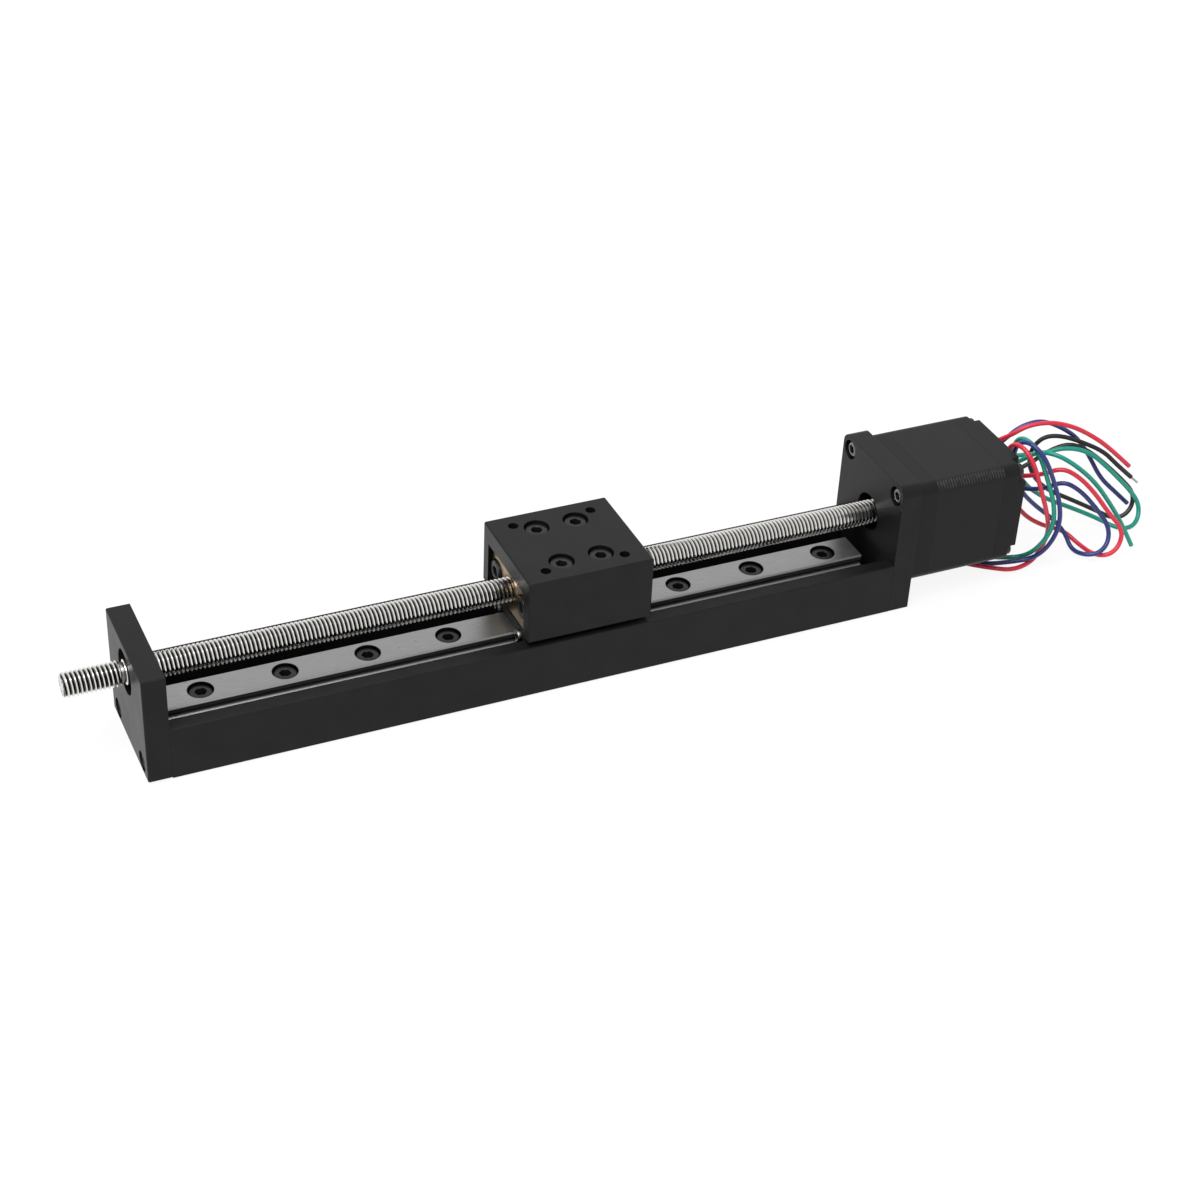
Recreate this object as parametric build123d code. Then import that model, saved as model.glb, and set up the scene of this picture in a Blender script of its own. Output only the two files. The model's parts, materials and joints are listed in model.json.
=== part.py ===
from build123d import *
import os
from math import pi, radians, sqrt, tan

os.makedirs("parts", exist_ok=True)

# Linear slide table: a stepper motor turns a lead screw, and the screw's nut drives a slide block
# along a miniature profile rail in an open-topped base channel. Millimetres, +Z up. The origin is
# the middle of the base's underside, +X points along the rail towards the motor.

# Base channel
base_length = 183.0
base_width = 30.0
base_wall_height = 13.5
base_wall = 3.7
base_floor = 4.5
base_edge_round = 0.3
base_mount_spacing_x = 140.0
base_mount_spacing_y = 15.0
base_mount_tap_r = 1.65

# Guide rail
rail_start = 1.0
rail_end_gap = 3.0
rail_width = 9.0
rail_height = 6.5
rail_pitch = 20.0
rail_first_hole = 10.2
rail_edge_room = 5.0
rail_counterbore_r = 3.0
rail_counterbore_depth = 3.5
rail_through_r = 1.75
rail_groove_r = 0.85
rail_groove_height = 4.4
rail_edge_chamfer = 0.35

# Socket cap screws, by thread size
m3_shank_r = 1.5
m3_head_r = 2.75
m3_head_height = 3.0
m3_socket_flats = 2.5
m3_tap_r = 1.25
m3_clearance_r = 1.7
m3_counterbore_r = 3.1
m25_shank_r = 1.25
m25_head_r = 2.25
m25_head_height = 2.4
m25_socket_flats = 2.0
m25_clearance_r = 1.35
m25_counterbore_r = 2.5
m2_shank_r = 1.0
m2_head_r = 1.7
m2_head_height = 1.1
m2_socket_flats = 1.0
socket_depth_share = 0.55
head_edge_round = 0.25
thread_gap = 0.03
tap_end_gap = 0.2
head_room = 0.4
screw_gap = 0.05

# End plate and its bearing
plate_thickness = 5.6
plate_height = 28.0
plate_screw_span = 20.6
plate_screw_z = 2.9
plate_screw_length = 10.0
plate_hole_r = 5.4
bearing_bore_r = 3.0
bearing_outer_r = 6.5
bearing_width = 3.5
bearing_race = 1.0
bearing_ball_r = 1.0
bearing_ball_count = 9
ball_track_gap = 0.03

# Lead screw
screw_r = 3.0
screw_axis_z = 20.5
screw_overhang = 14.2
screw_tip_chamfer = 0.5
screw_journal_r = 2.5
screw_run_out = 1.0
screw_undercut_r = 2.4

# Motor bracket
bracket_thickness = 5.6
bracket_height = 35.6
bracket_corner_r = 2.6
bracket_bore_r = 4.9
bracket_pilot_r = 11.0
bracket_pilot_depth = 2.0
bracket_screw_span = 20.6
bracket_screw_z = 2.9
bracket_screw_length = 12.0

# Motor
motor_side = 28.0
motor_corner_r = 2.6
motor_front_bell = 5.0
motor_stack = 19.2
motor_rear_bell = 6.3
motor_bell_wall = 1.6
motor_screw_pitch = 23.0
motor_screw_length = 5.8
motor_pilot_height = 1.8
motor_notch = 4.5
motor_notch_depth = 2.0
case_screw_engagement = 1.2
rotor_r = 8.5
rotor_length = 16.0
stator_bore_r = 8.8
coil_outer_r = 12.2
coil_band = 2.8
coil_length = 2.4
motor_bearing_outer_r = 6.5
motor_bearing_bore_r = 2.5
motor_bearing_width = 3.0
bearing_seat_wall = 1.4

# Slide block
carriage_rest = 9.8
block_length = 31.5
block_width = 28.6
block_bottom = 14.5
block_top = 31.0
block_window_width = 22.4
block_window_top = 26.4
block_user_pitch = 20.0
block_user_depth = 7.0
block_edge_round = 0.35
guide_screw_pitch_x = 10.0
guide_screw_edge = 2.5
guide_screw_bite = 3.0
block_screw_recess = 3.6
block_tunnel_width = 12.0

# Lead nut
nut_thickness = 5.5
nut_inset = 1.1
nut_width = 21.8
nut_bottom_gap = 0.15
nut_screw_pitch = 16.0
nut_screw_wall = 0.55
nut_thread_gap = 0.04
nut_head_stand = 0.6

# Guide block on the rail
guide_side_gap = 1.3
guide_end_inset = 1.3
guide_top = 10.0
guide_bottom = 2.2
guide_rail_gap = 0.25
end_cap_length = 4.2
end_seal_length = 0.8
end_cap_inset = 0.5
ball_r = 0.79
ball_pitch = 2.6
ball_end_room = 2.5
cap_screw_room = 2.0
cap_screw_bite = 2.4
cap_screw_z = 6.8
cap_screw_length = 7.0

# Motor leads
lead_diameter = 1.2
lead_exit_y = 10.4
lead_exit_z = 17.15
grommet_side = 5.6
grommet_depth = 2.5
grommet_stand = 0.6
grommet_chamfer = 0.3
grommet_gap = 0.05
lead_tip_length = 3.0
lead_tip_r = 0.35

# Worked-out places
base_end = base_length / 2
rail_length = base_length - rail_start - rail_end_gap
rail_hole_count = int((rail_length - rail_first_hole - rail_edge_room) // rail_pitch) + 1
rail_bottom = base_floor
rail_top = rail_bottom + rail_height
rail_left = -base_end + rail_start
guide_width = base_width - 2 * (base_wall + guide_side_gap)
guide_length = block_length - 2 * (guide_end_inset + end_cap_length + end_seal_length)
guide_top_z = rail_bottom + guide_top
guide_screw_pitch_y = guide_width - 2 * guide_screw_edge
cap_screw_span = rail_width + 2 * cap_screw_room
ball_count = int((guide_length - 2 * ball_end_room) // ball_pitch) + 1
plate_face = -base_end - plate_thickness
bracket_face = base_end + bracket_thickness
motor_front = bracket_face
m25_counterbore_depth = m25_head_height + head_room
motor_end = motor_front + motor_front_bell + motor_stack + motor_rear_bell
screw_tip = plate_face - screw_overhang
X_AXIS_PLANE = Plane.YZ


def save(node, shape):
    """Writes one sub-part."""
    export_step(shape, f"parts/{node}.step")


def box_between(low, high):
    """A box from its lowest corner to its highest."""
    size = [b - a for a, b in zip(low, high)]
    middle = [(a + b) / 2 for a, b in zip(low, high)]
    return Pos(*middle) * Box(*size)


def rod(start, end, radius, y=0.0, z=0.0):
    """A round bar along X."""
    return Pos(start, y, z) * extrude(X_AXIS_PLANE * Circle(radius), end - start)


def ring(start, end, outer, inner, y=0.0, z=0.0):
    """A round sleeve along X."""
    return rod(start, end, outer, y, z) - rod(start - 1, end + 1, inner, y, z)


def upright(x, y, bottom, top, radius):
    """A round bar along Z."""
    return Pos(x, y, bottom) * extrude(Circle(radius), top - bottom)


def cap_screw(shank_r, head_r, head_height, socket_flats, length):
    """A socket cap screw that points down, with its head's seat at the origin."""
    head = fillet(Cylinder(head_r, head_height).edges().group_by(Axis.Z)[-1], head_edge_round)
    head = Pos(0, 0, head_height / 2) * head
    depth = head_height * socket_depth_share
    socket = Pos(0, 0, head_height - depth) * extrude(RegularPolygon(socket_flats / sqrt(3), 6), depth + 1)
    return head + Pos(0, 0, -length / 2) * Cylinder(shank_r, length) - socket


def m3_screw(length):
    return cap_screw(m3_shank_r, m3_head_r, m3_head_height, m3_socket_flats, length)


def m25_screw(length):
    return cap_screw(m25_shank_r, m25_head_r, m25_head_height, m25_socket_flats, length)


def facing_left(shape, x, y, z):
    """Turns a downward screw to point along +X, so that its head looks to the left."""
    return Pos(x, y, z) * Rot(0, -90, 0) * shape


def facing_right(shape, x, y, z):
    """Turns a downward screw to point along -X, so that its head looks to the right."""
    return Pos(x, y, z) * Rot(0, 90, 0) * shape


def pairs(span_y):
    return [(-span_y / 2), span_y / 2]


def rail_hole_places():
    first = rail_left + rail_first_hole
    return [first + i * rail_pitch for i in range(rail_hole_count)]


# Base channel
def base_channel():
    half = base_width / 2
    inner = half - base_wall
    profile = Polyline(
        (-half, 0), (half, 0), (half, base_wall_height), (inner, base_wall_height),
        (inner, base_floor), (-inner, base_floor), (-inner, base_wall_height),
        (-half, base_wall_height), close=True)
    body = Pos(-base_end, 0, 0) * extrude(X_AXIS_PLANE * make_face(profile), base_length)
    top_edges = body.edges().filter_by(Axis.X).group_by(Axis.Z)[-1]
    body = fillet(top_edges, base_edge_round)
    for x in rail_hole_places():
        body -= upright(x, 0, -1, base_floor + 1, m3_shank_r + thread_gap)
    for x in (-base_mount_spacing_x / 2, base_mount_spacing_x / 2):
        for y in pairs(base_mount_spacing_y):
            body -= upright(x, y, -1, base_floor + 1, base_mount_tap_r)
    for y in pairs(plate_screw_span):
        depth = plate_screw_length
        body -= rod(-base_end - 1, -base_end + depth, m25_shank_r + thread_gap, y, plate_screw_z)
    for y in pairs(bracket_screw_span):
        depth = bracket_screw_length
        body -= rod(base_end - depth, base_end + 1, m25_shank_r + thread_gap, y, bracket_screw_z)
    return body


# Guide rail
def guide_rail():
    half = rail_width / 2
    section = make_face(Polyline(
        (-half, 0), (half, 0), (half, rail_height - rail_edge_chamfer),
        (half - rail_edge_chamfer, rail_height), (rail_edge_chamfer - half, rail_height),
        (-half, rail_height - rail_edge_chamfer), close=True))
    for side in (-1, 1):
        section -= Pos(side * (half + rail_groove_r * 0.35), rail_groove_height) * Circle(rail_groove_r)
    body = Pos(rail_left, 0, rail_bottom) * extrude(X_AXIS_PLANE * section, rail_length)
    for x in rail_hole_places():
        body -= upright(x, 0, rail_bottom - 1, rail_top + 1, rail_through_r)
        body -= upright(x, 0, rail_top - rail_counterbore_depth, rail_top + 1, rail_counterbore_r)
    return body


def rail_screws():
    seat = rail_top - rail_counterbore_depth
    screw = m3_screw(seat - 0.3)
    return Compound(children=[Pos(x, 0, seat) * screw for x in rail_hole_places()])


# End plate with the screw's support bearing
def end_plate():
    half = base_width / 2
    body = box_between((plate_face, -half, 0), (-base_end, half, plate_height))
    outer_edges = body.edges().filter_by(Axis.X) + body.faces().sort_by(Axis.X)[0].edges()
    body = chamfer(outer_edges, base_edge_round)
    body -= rod(plate_face - 1, -base_end + 1, plate_hole_r, 0, screw_axis_z)
    body -= rod(-base_end - bearing_width, -base_end + 1, bearing_outer_r, 0, screw_axis_z)
    for y in pairs(plate_screw_span):
        body -= rod(plate_face - 1, -base_end + 1, m25_clearance_r, y, plate_screw_z)
        body -= rod(plate_face - 1, plate_face + m25_counterbore_depth, m25_counterbore_r, y, plate_screw_z)
    return body


def end_plate_screws():
    seat = plate_face + m25_counterbore_depth
    screw = m25_screw(plate_screw_length - 1.5)
    return Compound(children=[
        facing_left(screw, seat, y, plate_screw_z) for y in pairs(plate_screw_span)])


def bearing_parts(start, width, outer, bore, race, balls, count):
    """Outer race, inner race and balls of a small deep-groove bearing on the screw's axis."""
    middle = start + width / 2
    track_r = (outer + bore) / 2
    groove = Pos(middle, 0, screw_axis_z) * Rot(0, 90, 0) * Torus(track_r, balls + ball_track_gap)
    outer_race = ring(start, start + width, outer, outer - race, z=screw_axis_z) - groove
    inner_race = ring(start, start + width, bore + race, bore, z=screw_axis_z) - groove
    ball_set = []
    for i in range(count):
        turned = Rot(360 * i / count, 0, 0) * Pos(0, 0, track_r) * Sphere(balls)
        ball_set.append(Pos(middle, 0, screw_axis_z) * turned)
    return outer_race, inner_race, Compound(children=ball_set)


# Lead screw, in one piece with the motor's shaft
def lead_screw():
    thread_end = base_end + bracket_thickness - 1.0
    body = rod(screw_tip, thread_end, screw_r, 0, screw_axis_z)
    body = chamfer(body.faces().sort_by(Axis.X)[0].edges(), screw_tip_chamfer)
    journal_end = motor_end - motor_bell_wall - 0.4
    body += rod(thread_end - 0.1, journal_end, screw_journal_r, 0, screw_axis_z)
    body -= ring(plate_face - screw_run_out, plate_face, screw_r + 1, screw_undercut_r, z=screw_axis_z)
    body -= ring(plate_face, -base_end, screw_r + 1, bearing_bore_r - screw_gap, z=screw_axis_z)
    return body


# Motor bracket
def motor_hole_places():
    half = motor_screw_pitch / 2
    return [(y, screw_axis_z + z) for y in (-half, half) for z in (-half, half)]


def motor_bracket():
    half = base_width / 2
    body = box_between((base_end, -half, 0), (bracket_face, half, bracket_height))
    top_corners = body.edges().filter_by(Axis.X).group_by(Axis.Z)[-1]
    body = fillet(top_corners, bracket_corner_r)
    body -= rod(base_end - 1, bracket_face + 1, bracket_bore_r, 0, screw_axis_z)
    pilot_start = bracket_face - bracket_pilot_depth
    body -= rod(pilot_start, bracket_face + 1, bracket_pilot_r + screw_gap, 0, screw_axis_z)
    for y, z in motor_hole_places():
        if z > base_wall_height:
            body -= rod(base_end - 1, bracket_face + 1, m25_clearance_r, y, z)
            body -= rod(base_end - 1, base_end + m25_counterbore_depth, m25_counterbore_r, y, z)
    for y in pairs(bracket_screw_span):
        body -= rod(base_end - 1, bracket_face + 1, m25_clearance_r, y, bracket_screw_z)
        body -= rod(bracket_face - m25_counterbore_depth, bracket_face + 1, m25_counterbore_r, y,
                    bracket_screw_z)
    return body


def bracket_screws():
    seat = bracket_face - m25_counterbore_depth
    screw = m25_screw(bracket_screw_length - 1.5)
    return Compound(children=[
        facing_right(screw, seat, y, bracket_screw_z) for y in pairs(bracket_screw_span)])


def motor_screws():
    seat = base_end + m25_counterbore_depth
    screw = m25_screw(motor_screw_length)
    places = [(y, z) for y, z in motor_hole_places() if z > base_wall_height]
    return Compound(children=[facing_left(screw, seat, y, z) for y, z in places])


# Motor
def motor_section(side, corner_r):
    return X_AXIS_PLANE * RectangleRounded(side, side, corner_r)


def motor_slab(start, end, side=motor_side, corner_r=motor_corner_r):
    """A length of the motor's rounded square body."""
    return Pos(start, 0, screw_axis_z) * extrude(motor_section(side, corner_r), end - start)


def motor_front_bell_part():
    end = motor_front + motor_front_bell
    body = motor_slab(motor_front, end)
    pilot_start = motor_front - motor_pilot_height
    body += rod(pilot_start, motor_front + 0.1, bracket_pilot_r, 0, screw_axis_z)
    body -= rod(motor_front + motor_bell_wall, end + 1, coil_outer_r + 0.2, 0, screw_axis_z)
    body += ring(motor_front, motor_front + motor_bell_wall + motor_bearing_width,
                 motor_bearing_outer_r + bearing_seat_wall, motor_bearing_outer_r, z=screw_axis_z)
    body -= rod(motor_front + motor_bell_wall, end + 1, motor_bearing_outer_r, 0, screw_axis_z)
    body -= rod(pilot_start - 1, end, screw_journal_r + 0.6, 0, screw_axis_z)
    for y, z in motor_hole_places():
        body -= rod(motor_front - 1, end + 1, m25_shank_r + thread_gap, y, z)
    return body


def motor_stator():
    start = motor_front + motor_front_bell
    body = motor_slab(start, start + motor_stack)
    body -= rod(start - 1, start + motor_stack + 1, stator_bore_r, 0, screw_axis_z)
    for y, z in motor_hole_places():
        body -= rod(start - 1, start + motor_stack + 1, m25_clearance_r, y, z)
    return body


def motor_rear_bell_part():
    start = motor_front + motor_front_bell + motor_stack
    body = motor_slab(start, motor_end)
    body -= rod(start - 1, motor_end - motor_bell_wall, coil_outer_r + 0.2, 0, screw_axis_z)
    seat = motor_end - motor_bell_wall - motor_bearing_width
    body += ring(seat, motor_end, motor_bearing_outer_r + bearing_seat_wall,
                 motor_bearing_outer_r, z=screw_axis_z)
    body += rod(motor_end - motor_bell_wall, motor_end, motor_bearing_outer_r + 1, 0, screw_axis_z)
    half = motor_side / 2
    for side_y in (-1, 1):
        for side_z in (-1, 1):
            low = (motor_end - motor_notch_depth, half - motor_notch, half - motor_notch)
            high = (motor_end + 1, half + 1, half + 1)
            notch = box_between(low, high)
            if side_y < 0:
                notch = mirror(notch, Plane.XZ)
            if side_z < 0:
                notch = mirror(notch, Plane.XY)
            body -= Pos(0, 0, screw_axis_z) * notch
    for y, z in motor_hole_places():
        body -= rod(start - 1, motor_end + 1, m25_clearance_r, y, z)
    body -= grommet_block(grommet_side / 2)
    return body


def grommet_block(half):
    """The square block that fills the lead outlet, from inside the bell to just outside it."""
    low = (motor_end - grommet_depth, lead_exit_y - half, lead_exit_z - half)
    high = (motor_end + grommet_stand, lead_exit_y + half, lead_exit_z + half)
    return box_between(low, high)


def lead_grommet():
    body = grommet_block(grommet_side / 2 - grommet_gap)
    return chamfer(body.faces().sort_by(Axis.X)[-1].edges(), grommet_chamfer)


def motor_case_screws():
    """Four long screws that clamp both bells on the stator, with their heads in the rear notches."""
    length = motor_rear_bell + motor_stack - motor_notch_depth + case_screw_engagement
    seat = motor_end - motor_notch_depth
    screw = cap_screw(m25_shank_r, m2_head_r + 0.1, m2_head_height + 0.5, m25_socket_flats * 0.8, length)
    return Compound(children=[facing_right(screw, seat, y, z) for y, z in motor_hole_places()])


def motor_rotor():
    middle = motor_front + motor_front_bell + motor_stack / 2
    start = middle - rotor_length / 2
    return ring(start, start + rotor_length, rotor_r, screw_journal_r, z=screw_axis_z)


def motor_coils():
    front = motor_front + motor_front_bell
    rear = front + motor_stack
    return Compound(children=[
        ring(front - coil_length, front, coil_outer_r, coil_outer_r - coil_band, z=screw_axis_z),
        ring(rear, rear + coil_length, coil_outer_r, coil_outer_r - coil_band, z=screw_axis_z)])


# Slide block
def nut_screw_seat():
    return carriage_rest - block_length / 2 + nut_inset + m3_head_height - nut_head_stand


def nut_screw_length():
    """As long as the wall in front of the guide screws allows."""
    guide_screw_wall = carriage_rest - guide_screw_pitch_x / 2 - m3_clearance_r
    return guide_screw_wall - nut_screw_wall - nut_screw_seat()


def user_holes():
    """The four tapped holes that take the load's screws."""
    return [upright(carriage_rest + x, y, block_top - block_user_depth, block_top + 1, m3_tap_r)
            for x in pairs(block_user_pitch) for y in pairs(block_user_pitch)]


def slide_block():
    left = carriage_rest - block_length / 2
    right = carriage_rest + block_length / 2
    half = block_width / 2
    body = box_between((left, -half, block_bottom), (right, half, block_top))
    body = chamfer(body.edges(), block_edge_round)
    window = block_window_width / 2
    body -= box_between((left - 1, -window, block_bottom - 1),
                        (left + nut_inset + nut_thickness, window, block_window_top))
    tunnel = block_tunnel_width / 2
    body -= box_between((left - 1, -tunnel, block_bottom - 1), (right + 1, tunnel, block_window_top))
    recess = block_top - block_screw_recess
    for x in pairs(guide_screw_pitch_x):
        for y in pairs(guide_screw_pitch_y):
            body -= upright(carriage_rest + x, y, block_bottom - 1, block_top + 1, m3_clearance_r)
            body -= upright(carriage_rest + x, y, recess, block_top + 1, m3_counterbore_r)
    for hole in user_holes():
        body -= hole
    tap_end = nut_screw_seat() + nut_screw_length() + tap_end_gap
    for y in pairs(nut_screw_pitch):
        body -= rod(left, tap_end, m3_shank_r + thread_gap, y, screw_axis_z)
    return body


def slide_block_screws():
    seat = block_top - block_screw_recess
    screw = m3_screw(seat - guide_top_z + guide_screw_bite)
    return Compound(children=[
        Pos(carriage_rest + x, y, seat) * screw
        for x in pairs(guide_screw_pitch_x) for y in pairs(guide_screw_pitch_y)])


# Lead nut: a brass plate in the window of the slide block
def lead_nut():
    start = carriage_rest - block_length / 2 + nut_inset
    half = nut_width / 2
    low = (start, -half, block_bottom + nut_bottom_gap)
    high = (start + nut_thickness, half, block_window_top)
    body = box_between(low, high)
    body -= rod(start - 1, start + nut_thickness + 1, screw_r + nut_thread_gap, 0, screw_axis_z)
    for y in pairs(nut_screw_pitch):
        body -= rod(start - 1, start + nut_thickness + 1, m3_clearance_r, y, screw_axis_z)
        body -= rod(start - 1, nut_screw_seat(), m3_counterbore_r, y, screw_axis_z)
    for hole in user_holes():
        body -= hole
    return body


def nut_screws():
    screw = m3_screw(nut_screw_length())
    return Compound(children=[
        facing_left(screw, nut_screw_seat(), y, screw_axis_z) for y in pairs(nut_screw_pitch)])


# Guide block: steel body, plastic end caps, rubber seals and balls
def guide_section(width, top, bottom, gap):
    """The saddle shape that straddles the rail."""
    half = width / 2
    slot = rail_width / 2 + gap
    roof = rail_height + gap
    return make_face(Polyline(
        (-half, bottom), (-slot, bottom), (-slot, roof), (slot, roof), (slot, bottom), (half, bottom),
        (half, top), (-half, top), close=True))


def saddle(start, end, width, top, bottom, gap):
    section = X_AXIS_PLANE * guide_section(width, top, bottom, gap)
    return Pos(start, 0, rail_bottom) * extrude(section, end - start)


def guide_block():
    start = carriage_rest - guide_length / 2
    body = saddle(start, start + guide_length, guide_width, guide_top, guide_bottom, guide_rail_gap)
    body = chamfer(body.edges().filter_by(Axis.X).group_by(Axis.Z)[-1], block_edge_round)
    track = rail_width / 2 + ball_r * 0.45
    for side in (-1, 1):
        y = side * track
        z = rail_bottom + rail_groove_height
        body -= rod(start - 1, start + guide_length + 1, ball_r + 0.04, y, z)
    tap_bottom = guide_top_z - guide_screw_bite - tap_end_gap
    for x in pairs(guide_screw_pitch_x):
        for y in pairs(guide_screw_pitch_y):
            body -= upright(carriage_rest + x, y, tap_bottom, guide_top_z + 1, m3_shank_r + thread_gap)
    for side in (-1, 1):
        for y in pairs(cap_screw_span):
            tip = carriage_rest + side * (guide_length / 2 - cap_screw_bite)
            mouth = carriage_rest + side * (guide_length / 2 + 1.0)
            low, high = sorted((tip, mouth))
            body -= rod(low, high, m2_shank_r + thread_gap, y, rail_bottom + cap_screw_z)
    return body


def cap_side(side):
    """One end cap, with its screws' holes."""
    inner = carriage_rest + side * guide_length / 2
    outer = inner + side * end_cap_length
    low, high = sorted((inner, outer))
    width = guide_width - 2 * end_cap_inset
    body = saddle(low, high, width, guide_top - end_cap_inset, guide_bottom, guide_rail_gap + 0.1)
    body = chamfer(body.edges().filter_by(Axis.X).group_by(Axis.Z)[-1], 2 * block_edge_round)
    for y in pairs(cap_screw_span):
        body -= rod(low - 1, high + 1, m2_shank_r + 0.1, y, rail_bottom + cap_screw_z)
    return body


def seal_side(side):
    inner = carriage_rest + side * (guide_length / 2 + end_cap_length)
    outer = inner + side * end_seal_length
    low, high = sorted((inner, outer))
    width = guide_width - 2 * end_cap_inset - 0.6
    body = saddle(low, high, width, guide_top - 2 * end_cap_inset, guide_bottom, guide_rail_gap - 0.15)
    for y in pairs(cap_screw_span):
        body -= rod(low - 1, high + 1, m2_shank_r + 0.1, y, rail_bottom + cap_screw_z)
    return body


def cap_screws():
    """Silver screws that hold the seals and end caps on the guide block."""
    reach = guide_length / 2 + end_cap_length + end_seal_length
    screw = cap_screw(m2_shank_r, m2_head_r, m2_head_height, m2_socket_flats, cap_screw_length)
    z = rail_bottom + cap_screw_z
    found = []
    for y in pairs(cap_screw_span):
        found.append(facing_left(screw, carriage_rest - reach, y, z))
        found.append(facing_right(screw, carriage_rest + reach, y, z))
    return Compound(children=found)


def guide_balls():
    track = rail_width / 2 + ball_r * 0.45
    z = rail_bottom + rail_groove_height
    first = carriage_rest - ball_pitch * (ball_count - 1) / 2
    return Compound(children=[
        Pos(first + i * ball_pitch, side * track, z) * Sphere(ball_r)
        for side in (-1, 1) for i in range(ball_count)])


# Motor leads: four insulated wires in a loose hank behind the motor
LEAD_ROUTES = {
    "red": [
        (128.2, 9.2, 18.3), (132, 9.2, 18.3), (136.1, 5.2, 18.2), (141.2, -1.8, 21.6),
        (144.8, -5, 25), (148.8, -7.5, 22.9), (153.2, -9.5, 18.2), (156.9, -11.5, 12.8),
        (161.5, -13, 7.3), (160.6, -14.2, 3.3), (157.3, -14.8, 1.3), (154.1, -12.6, 0.8),
        (153.1, -7, 0.8), (150.8, -2.5, 3), (145.4, 0, 4.2), (139.5, 1, 8.4), (134.2, 0.5, 16),
        (131.4, 0, 24.2), (129.6, -1.6, 32), (129.1, -5.2, 35.7), (129.7, -9, 35.9),
        (130.9, -12, 32.8), (133.7, -12.6, 25.3), (136.5, -13, 18), (140.7, -9.7, 9.1),
        (139.9, -8.6, 3.3), (136.6, -9.8, 0.8), (130.3, -11.2, 0.8), (125.7, -8.6, 0.8),
        (118.5, -3, 0.8), (116.5, 6, 0.8), (120, 14.5, 0.8), (127.5, 19, 4), (133.5, 18, 13),
        (134.7, 14.9, 22.5), (137.9, 9.4, 27.7), (141.6, 8, 30.7), (147.4, 6.5, 31.5),
        (153.5, 5, 29.9), (158.9, 3.5, 26.9), (164.2, 2, 23), (170.7, 0.5, 16.7),
    ],
    "green": [
        (128.2, 11.6, 18.3), (132.2, 11.6, 18.3), (139.5, 10.6, 20.6), (147.2, 7.7, 21.2),
        (153.2, 5.5, 23.3), (159.2, 3, 22), (165.2, 1, 16.4), (170.8, -0.3, 10.6),
        (174.6, -1.1, 6), (174.4, -3, 2.6), (171.4, -5, 0.8), (167.2, -4.5, 0.8),
        (163.4, 1.1, 1.9), (156.4, 3.5, 5.2), (149.4, 5, 8.4), (142.2, 5, 14), (136.9, 4.2, 21.5),
        (133.1, 1.2, 29.6), (131.5, -2.8, 35.6), (132.3, -6.8, 36.6), (133.4, -10.2, 34.1),
        (135.7, -12, 27.4), (138.1, -13, 20.7), (139.3, -13, 14), (137.4, -12.4, 8.3),
        (136.1, -8.3, 2), (131.1, -5.9, 1), (125, -2.5, 0.8), (123.5, 4, 0.8), (126.5, 10, 1),
        (132.5, 13, 6), (135.8, 14.2, 13.5), (141.2, 7, 21), (141.8, 1.9, 26.5),
        (144.6, -2.8, 27.6), (148.8, -5.8, 25.1), (153.9, -7.8, 20.4), (158.5, -9.6, 14),
        (162.8, -11.3, 7), (166, -12.2, 0.8),
    ],
    "blue": [
        (128.2, 9.2, 16), (132, 9.2, 16), (136.2, 5.4, 14.9), (142.2, -1.8, 16.8),
        (146, -4.9, 20.7), (149.9, -7.7, 18.6), (154.2, -9.8, 13.6), (158.2, -11.2, 8.1),
        (157.6, -13.2, 4.4), (154.4, -14.4, 2.4), (151.2, -12.8, 1.5), (149.8, -8.4, 0.8),
        (149.7, -4.8, 4), (146.9, -1.5, 7.3), (141.4, -0.8, 11.9), (135.2, -1.6, 18.6),
        (131.6, -2, 26), (130.7, -3.1, 33.3), (130.6, -6.5, 36.8), (131.7, -10.1, 37),
        (133.6, -12.9, 34.2), (137.1, -12.8, 27.1), (139.5, -13.6, 20.7), (140.5, -13.9, 14),
        (138.8, -13.5, 8), (136.8, -10.6, 2.6), (131.2, -8.3, 1.2), (123.5, -6, 0.8),
        (119.8, 1.5, 0.8), (121.5, 10, 0.8), (127, 15, 2.2), (131.5, 15.5, 9), (132.8, 14.2, 19),
        (137.8, 12.1, 24.5), (141.4, 11.1, 28.6), (146.9, 10, 30.2), (152.4, 9, 27.9),
        (158.3, 8.2, 23.7), (162, 6.5, 18.1), (165.3, 4.5, 11.8), (169.9, 3, 7.3),
        (173.9, 2.2, 3.4),
    ],
    "black": [
        (128.2, 11.6, 16), (132.2, 11.6, 16), (138.4, 9.3, 15.6), (144.3, 7.8, 18.8),
        (150.6, 9, 20.8), (155, 6.6, 23.5), (159.4, 4.4, 21.7), (164, 3, 17.9), (170.2, 2.2, 12),
        (174.1, 1, 7.7), (173.9, -0.2, 4.2), (171.4, -0.9, 1.9), (168.6, 0.4, 0.8),
        (164.7, 3.4, 2.5), (157.9, 6, 5.9), (151.2, 8.5, 9), (146.9, 10.5, 14),
        (146.3, 11.5, 19.8), (149.2, 11, 24), (153.3, 9.1, 24.8), (158.4, 6, 23.5),
        (164, 3.3, 20.9), (168.1, 2.2, 16.6), (172.5, 1, 12.6),
    ],
}


def lead_tube(points):
    """A wire along straight runs joined by arcs as large as the runs allow."""
    vectors = [Vector(*p) for p in points]
    radii = []
    for before, corner, after in zip(vectors, vectors[1:], vectors[2:]):
        arriving = corner - before
        leaving = after - corner
        turn = radians(arriving.get_angle(leaving))
        radii.append(0.45 * min(arriving.length, leaving.length) / tan(turn / 2))
    path = FilletPolyline(*vectors, radius=radii)
    section = Plane(origin=path @ 0, z_dir=path % 0) * Circle(lead_diameter / 2)
    return sweep(section, path=path), radii, path.length


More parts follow.
